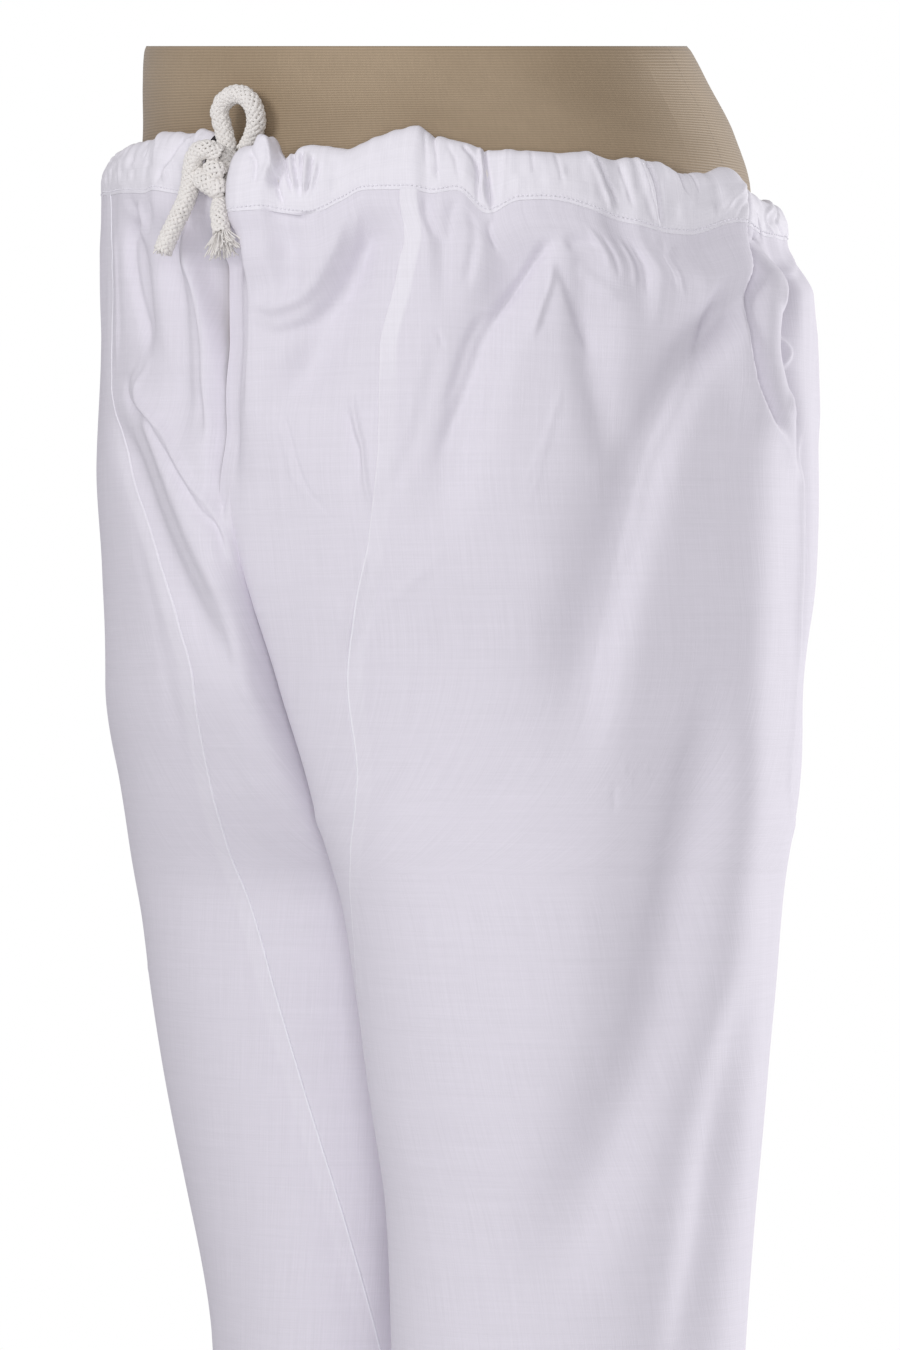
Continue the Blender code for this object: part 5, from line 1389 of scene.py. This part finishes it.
def make_form(cover):
    heights = FORM_SECTIONS["z"]
    low, top = heights[0], heights[-1]
    turn = np.linspace(0, 2 * math.pi, FORM_RING + 1)
    marks = (low, low + FORM_LOW_EDGE, top - FORM_TOP_EDGE, top)
    parts = [np.linspace(*part)[:-1] for part in zip(marks, marks[1:], FORM_ROWS)]
    levels = np.concatenate([*parts, [top]])
    grid = []
    for z in levels:
        wide, deep, y = (smooth(z, heights, FORM_SECTIONS[key]) for key in ("wide", "deep", "centre_y"))
        x, y = wide * np.cos(turn), y + deep * np.sin(turn)
        lean = ease((z - FORM_LEAN_Z) / (top - FORM_LEAN_Z)) * (FORM_LEAN[0] * x + FORM_LEAN[1] * y)
        grid.append(np.stack([x, y, z + lean], axis=1))
    grid = np.array(grid)
    middle = np.array([0, np.mean(grid[0, :, 1]), low])
    caps = [grid[0] * (1 - share) + middle * share for share in END_SHARES[::-1]]
    lids = [grid[-1] * (1 - share) + grid[-1].mean(axis=0) * share for share in END_SHARES]
    rows = np.concatenate([caps, grid, lids])
    ups = np.concatenate([low - END_UPS[::-1], levels, top + END_UPS])
    flat = np.stack(np.meshgrid(turn * FORM_ROUND, ups), axis=-1)
    obj = cloth_object("form_cover", None, rows, flat, np.zeros(rows.shape[:2]), cover)
    worn(obj, "dress_form")


# Light and surroundings. Each light has its turn from the camera's side towards the picture's
# right and its rise above level, in degrees, and its power.
LIGHT_SIZE = 0.9
LIGHT_FAR = 2.4
LIGHT_AIM = Vector((0, 0, 0.75))
LIGHTS = {
    "left_softbox": (-48, 28, 18.0),
    "front_softbox": (0, 5, 16.0),
    "right_softbox": (110, 8, 40.0),
}
FLOOR_RADIUS = 1.3
FLOOR_Z = -0.0005
FLOOR_SIDES = 96


def area_light(name, turn, rise, power):
    """A square soft light that looks at the garment."""
    data = bpy.data.lights.new(name, "AREA")
    data.shape = "SQUARE"
    data.size = LIGHT_SIZE
    data.energy = power
    aside, up = math.radians(turn), math.radians(rise)
    level = TO_CAMERA * math.cos(aside) + TO_RIGHT * math.sin(aside)
    obj = add_object(name, data)
    obj.location = LIGHT_AIM + LIGHT_FAR * (level * math.cos(up) + Vector((0, 0, math.sin(up))))
    obj.rotation_euler = (LIGHT_AIM - obj.location).to_track_quat("-Z", "Y").to_euler()


def make_world():
    """Soft light from all round, and a white background where the camera looks at it."""
    world = bpy.data.worlds.new("studio")
    world.use_nodes = True
    tree = world.node_tree
    light = find_node(tree, "BACKGROUND")
    put(tree, light.inputs, {"Color": (0.97, 0.96, 1.0, 1), "Strength": 0.40})
    seen = add_node(tree, "Background", {"Color": (1, 1, 1, 1), "Strength": 1.0})[0]
    ray = add_node(tree, "LightPath")["Is Camera Ray"]
    mixed = add_node(tree, "MixShader", {0: ray, 1: light.outputs[0], 2: seen})[0]
    put(tree, find_node(tree, "OUTPUT_WORLD").inputs, {"Surface": mixed})
    bpy.context.scene.world = world


def make_surroundings():
    bpy.context.scene.view_settings.view_transform = "Standard"
    make_world()
    turn = np.linspace(0, 2 * math.pi, FLOOR_SIDES, endpoint=False)
    rim = np.stack([FLOOR_RADIUS * np.cos(turn), FLOOR_RADIUS * np.sin(turn), turn * 0 + FLOOR_Z], axis=1)
    made = Finish("pale_floor", 0.8)
    grain = made.noise(made.place(), (40, 40, 40))
    pale = made.look((0.86, 0.86, 0.87, 1), grain, 0.0003, 0.2)
    mesh_object("floor", rim, [list(range(len(rim)))], pale)
    for name, numbers in LIGHTS.items():
        area_light(name, *numbers)


def main():
    cotton = cotton_finish()
    cover = form_finish()
    steel = steel_finish()
    cord = yarn_finish("cord_yarn", "f7f4f2", "dad5cf")
    # Dark yarn for the tubes inside the braids: painted shade between the strands
    shade = yarn_finish("cord_shade", "857c70", "5f574d")
    thread = yarn_finish("sewing_thread", "f3f1f6", "dcd9e2")
    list(make_cords(cord, shade))
    for side in SIDES:
        make_panels(side, cotton, thread)
        make_band(side, cotton, thread)
    make_form(cover)
    for name in ("stand_collar", "stand_pole", "stand_base"):
        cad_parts[name].data.materials.clear()
        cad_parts[name].data.materials.append(steel)
    make_surroundings()


main()
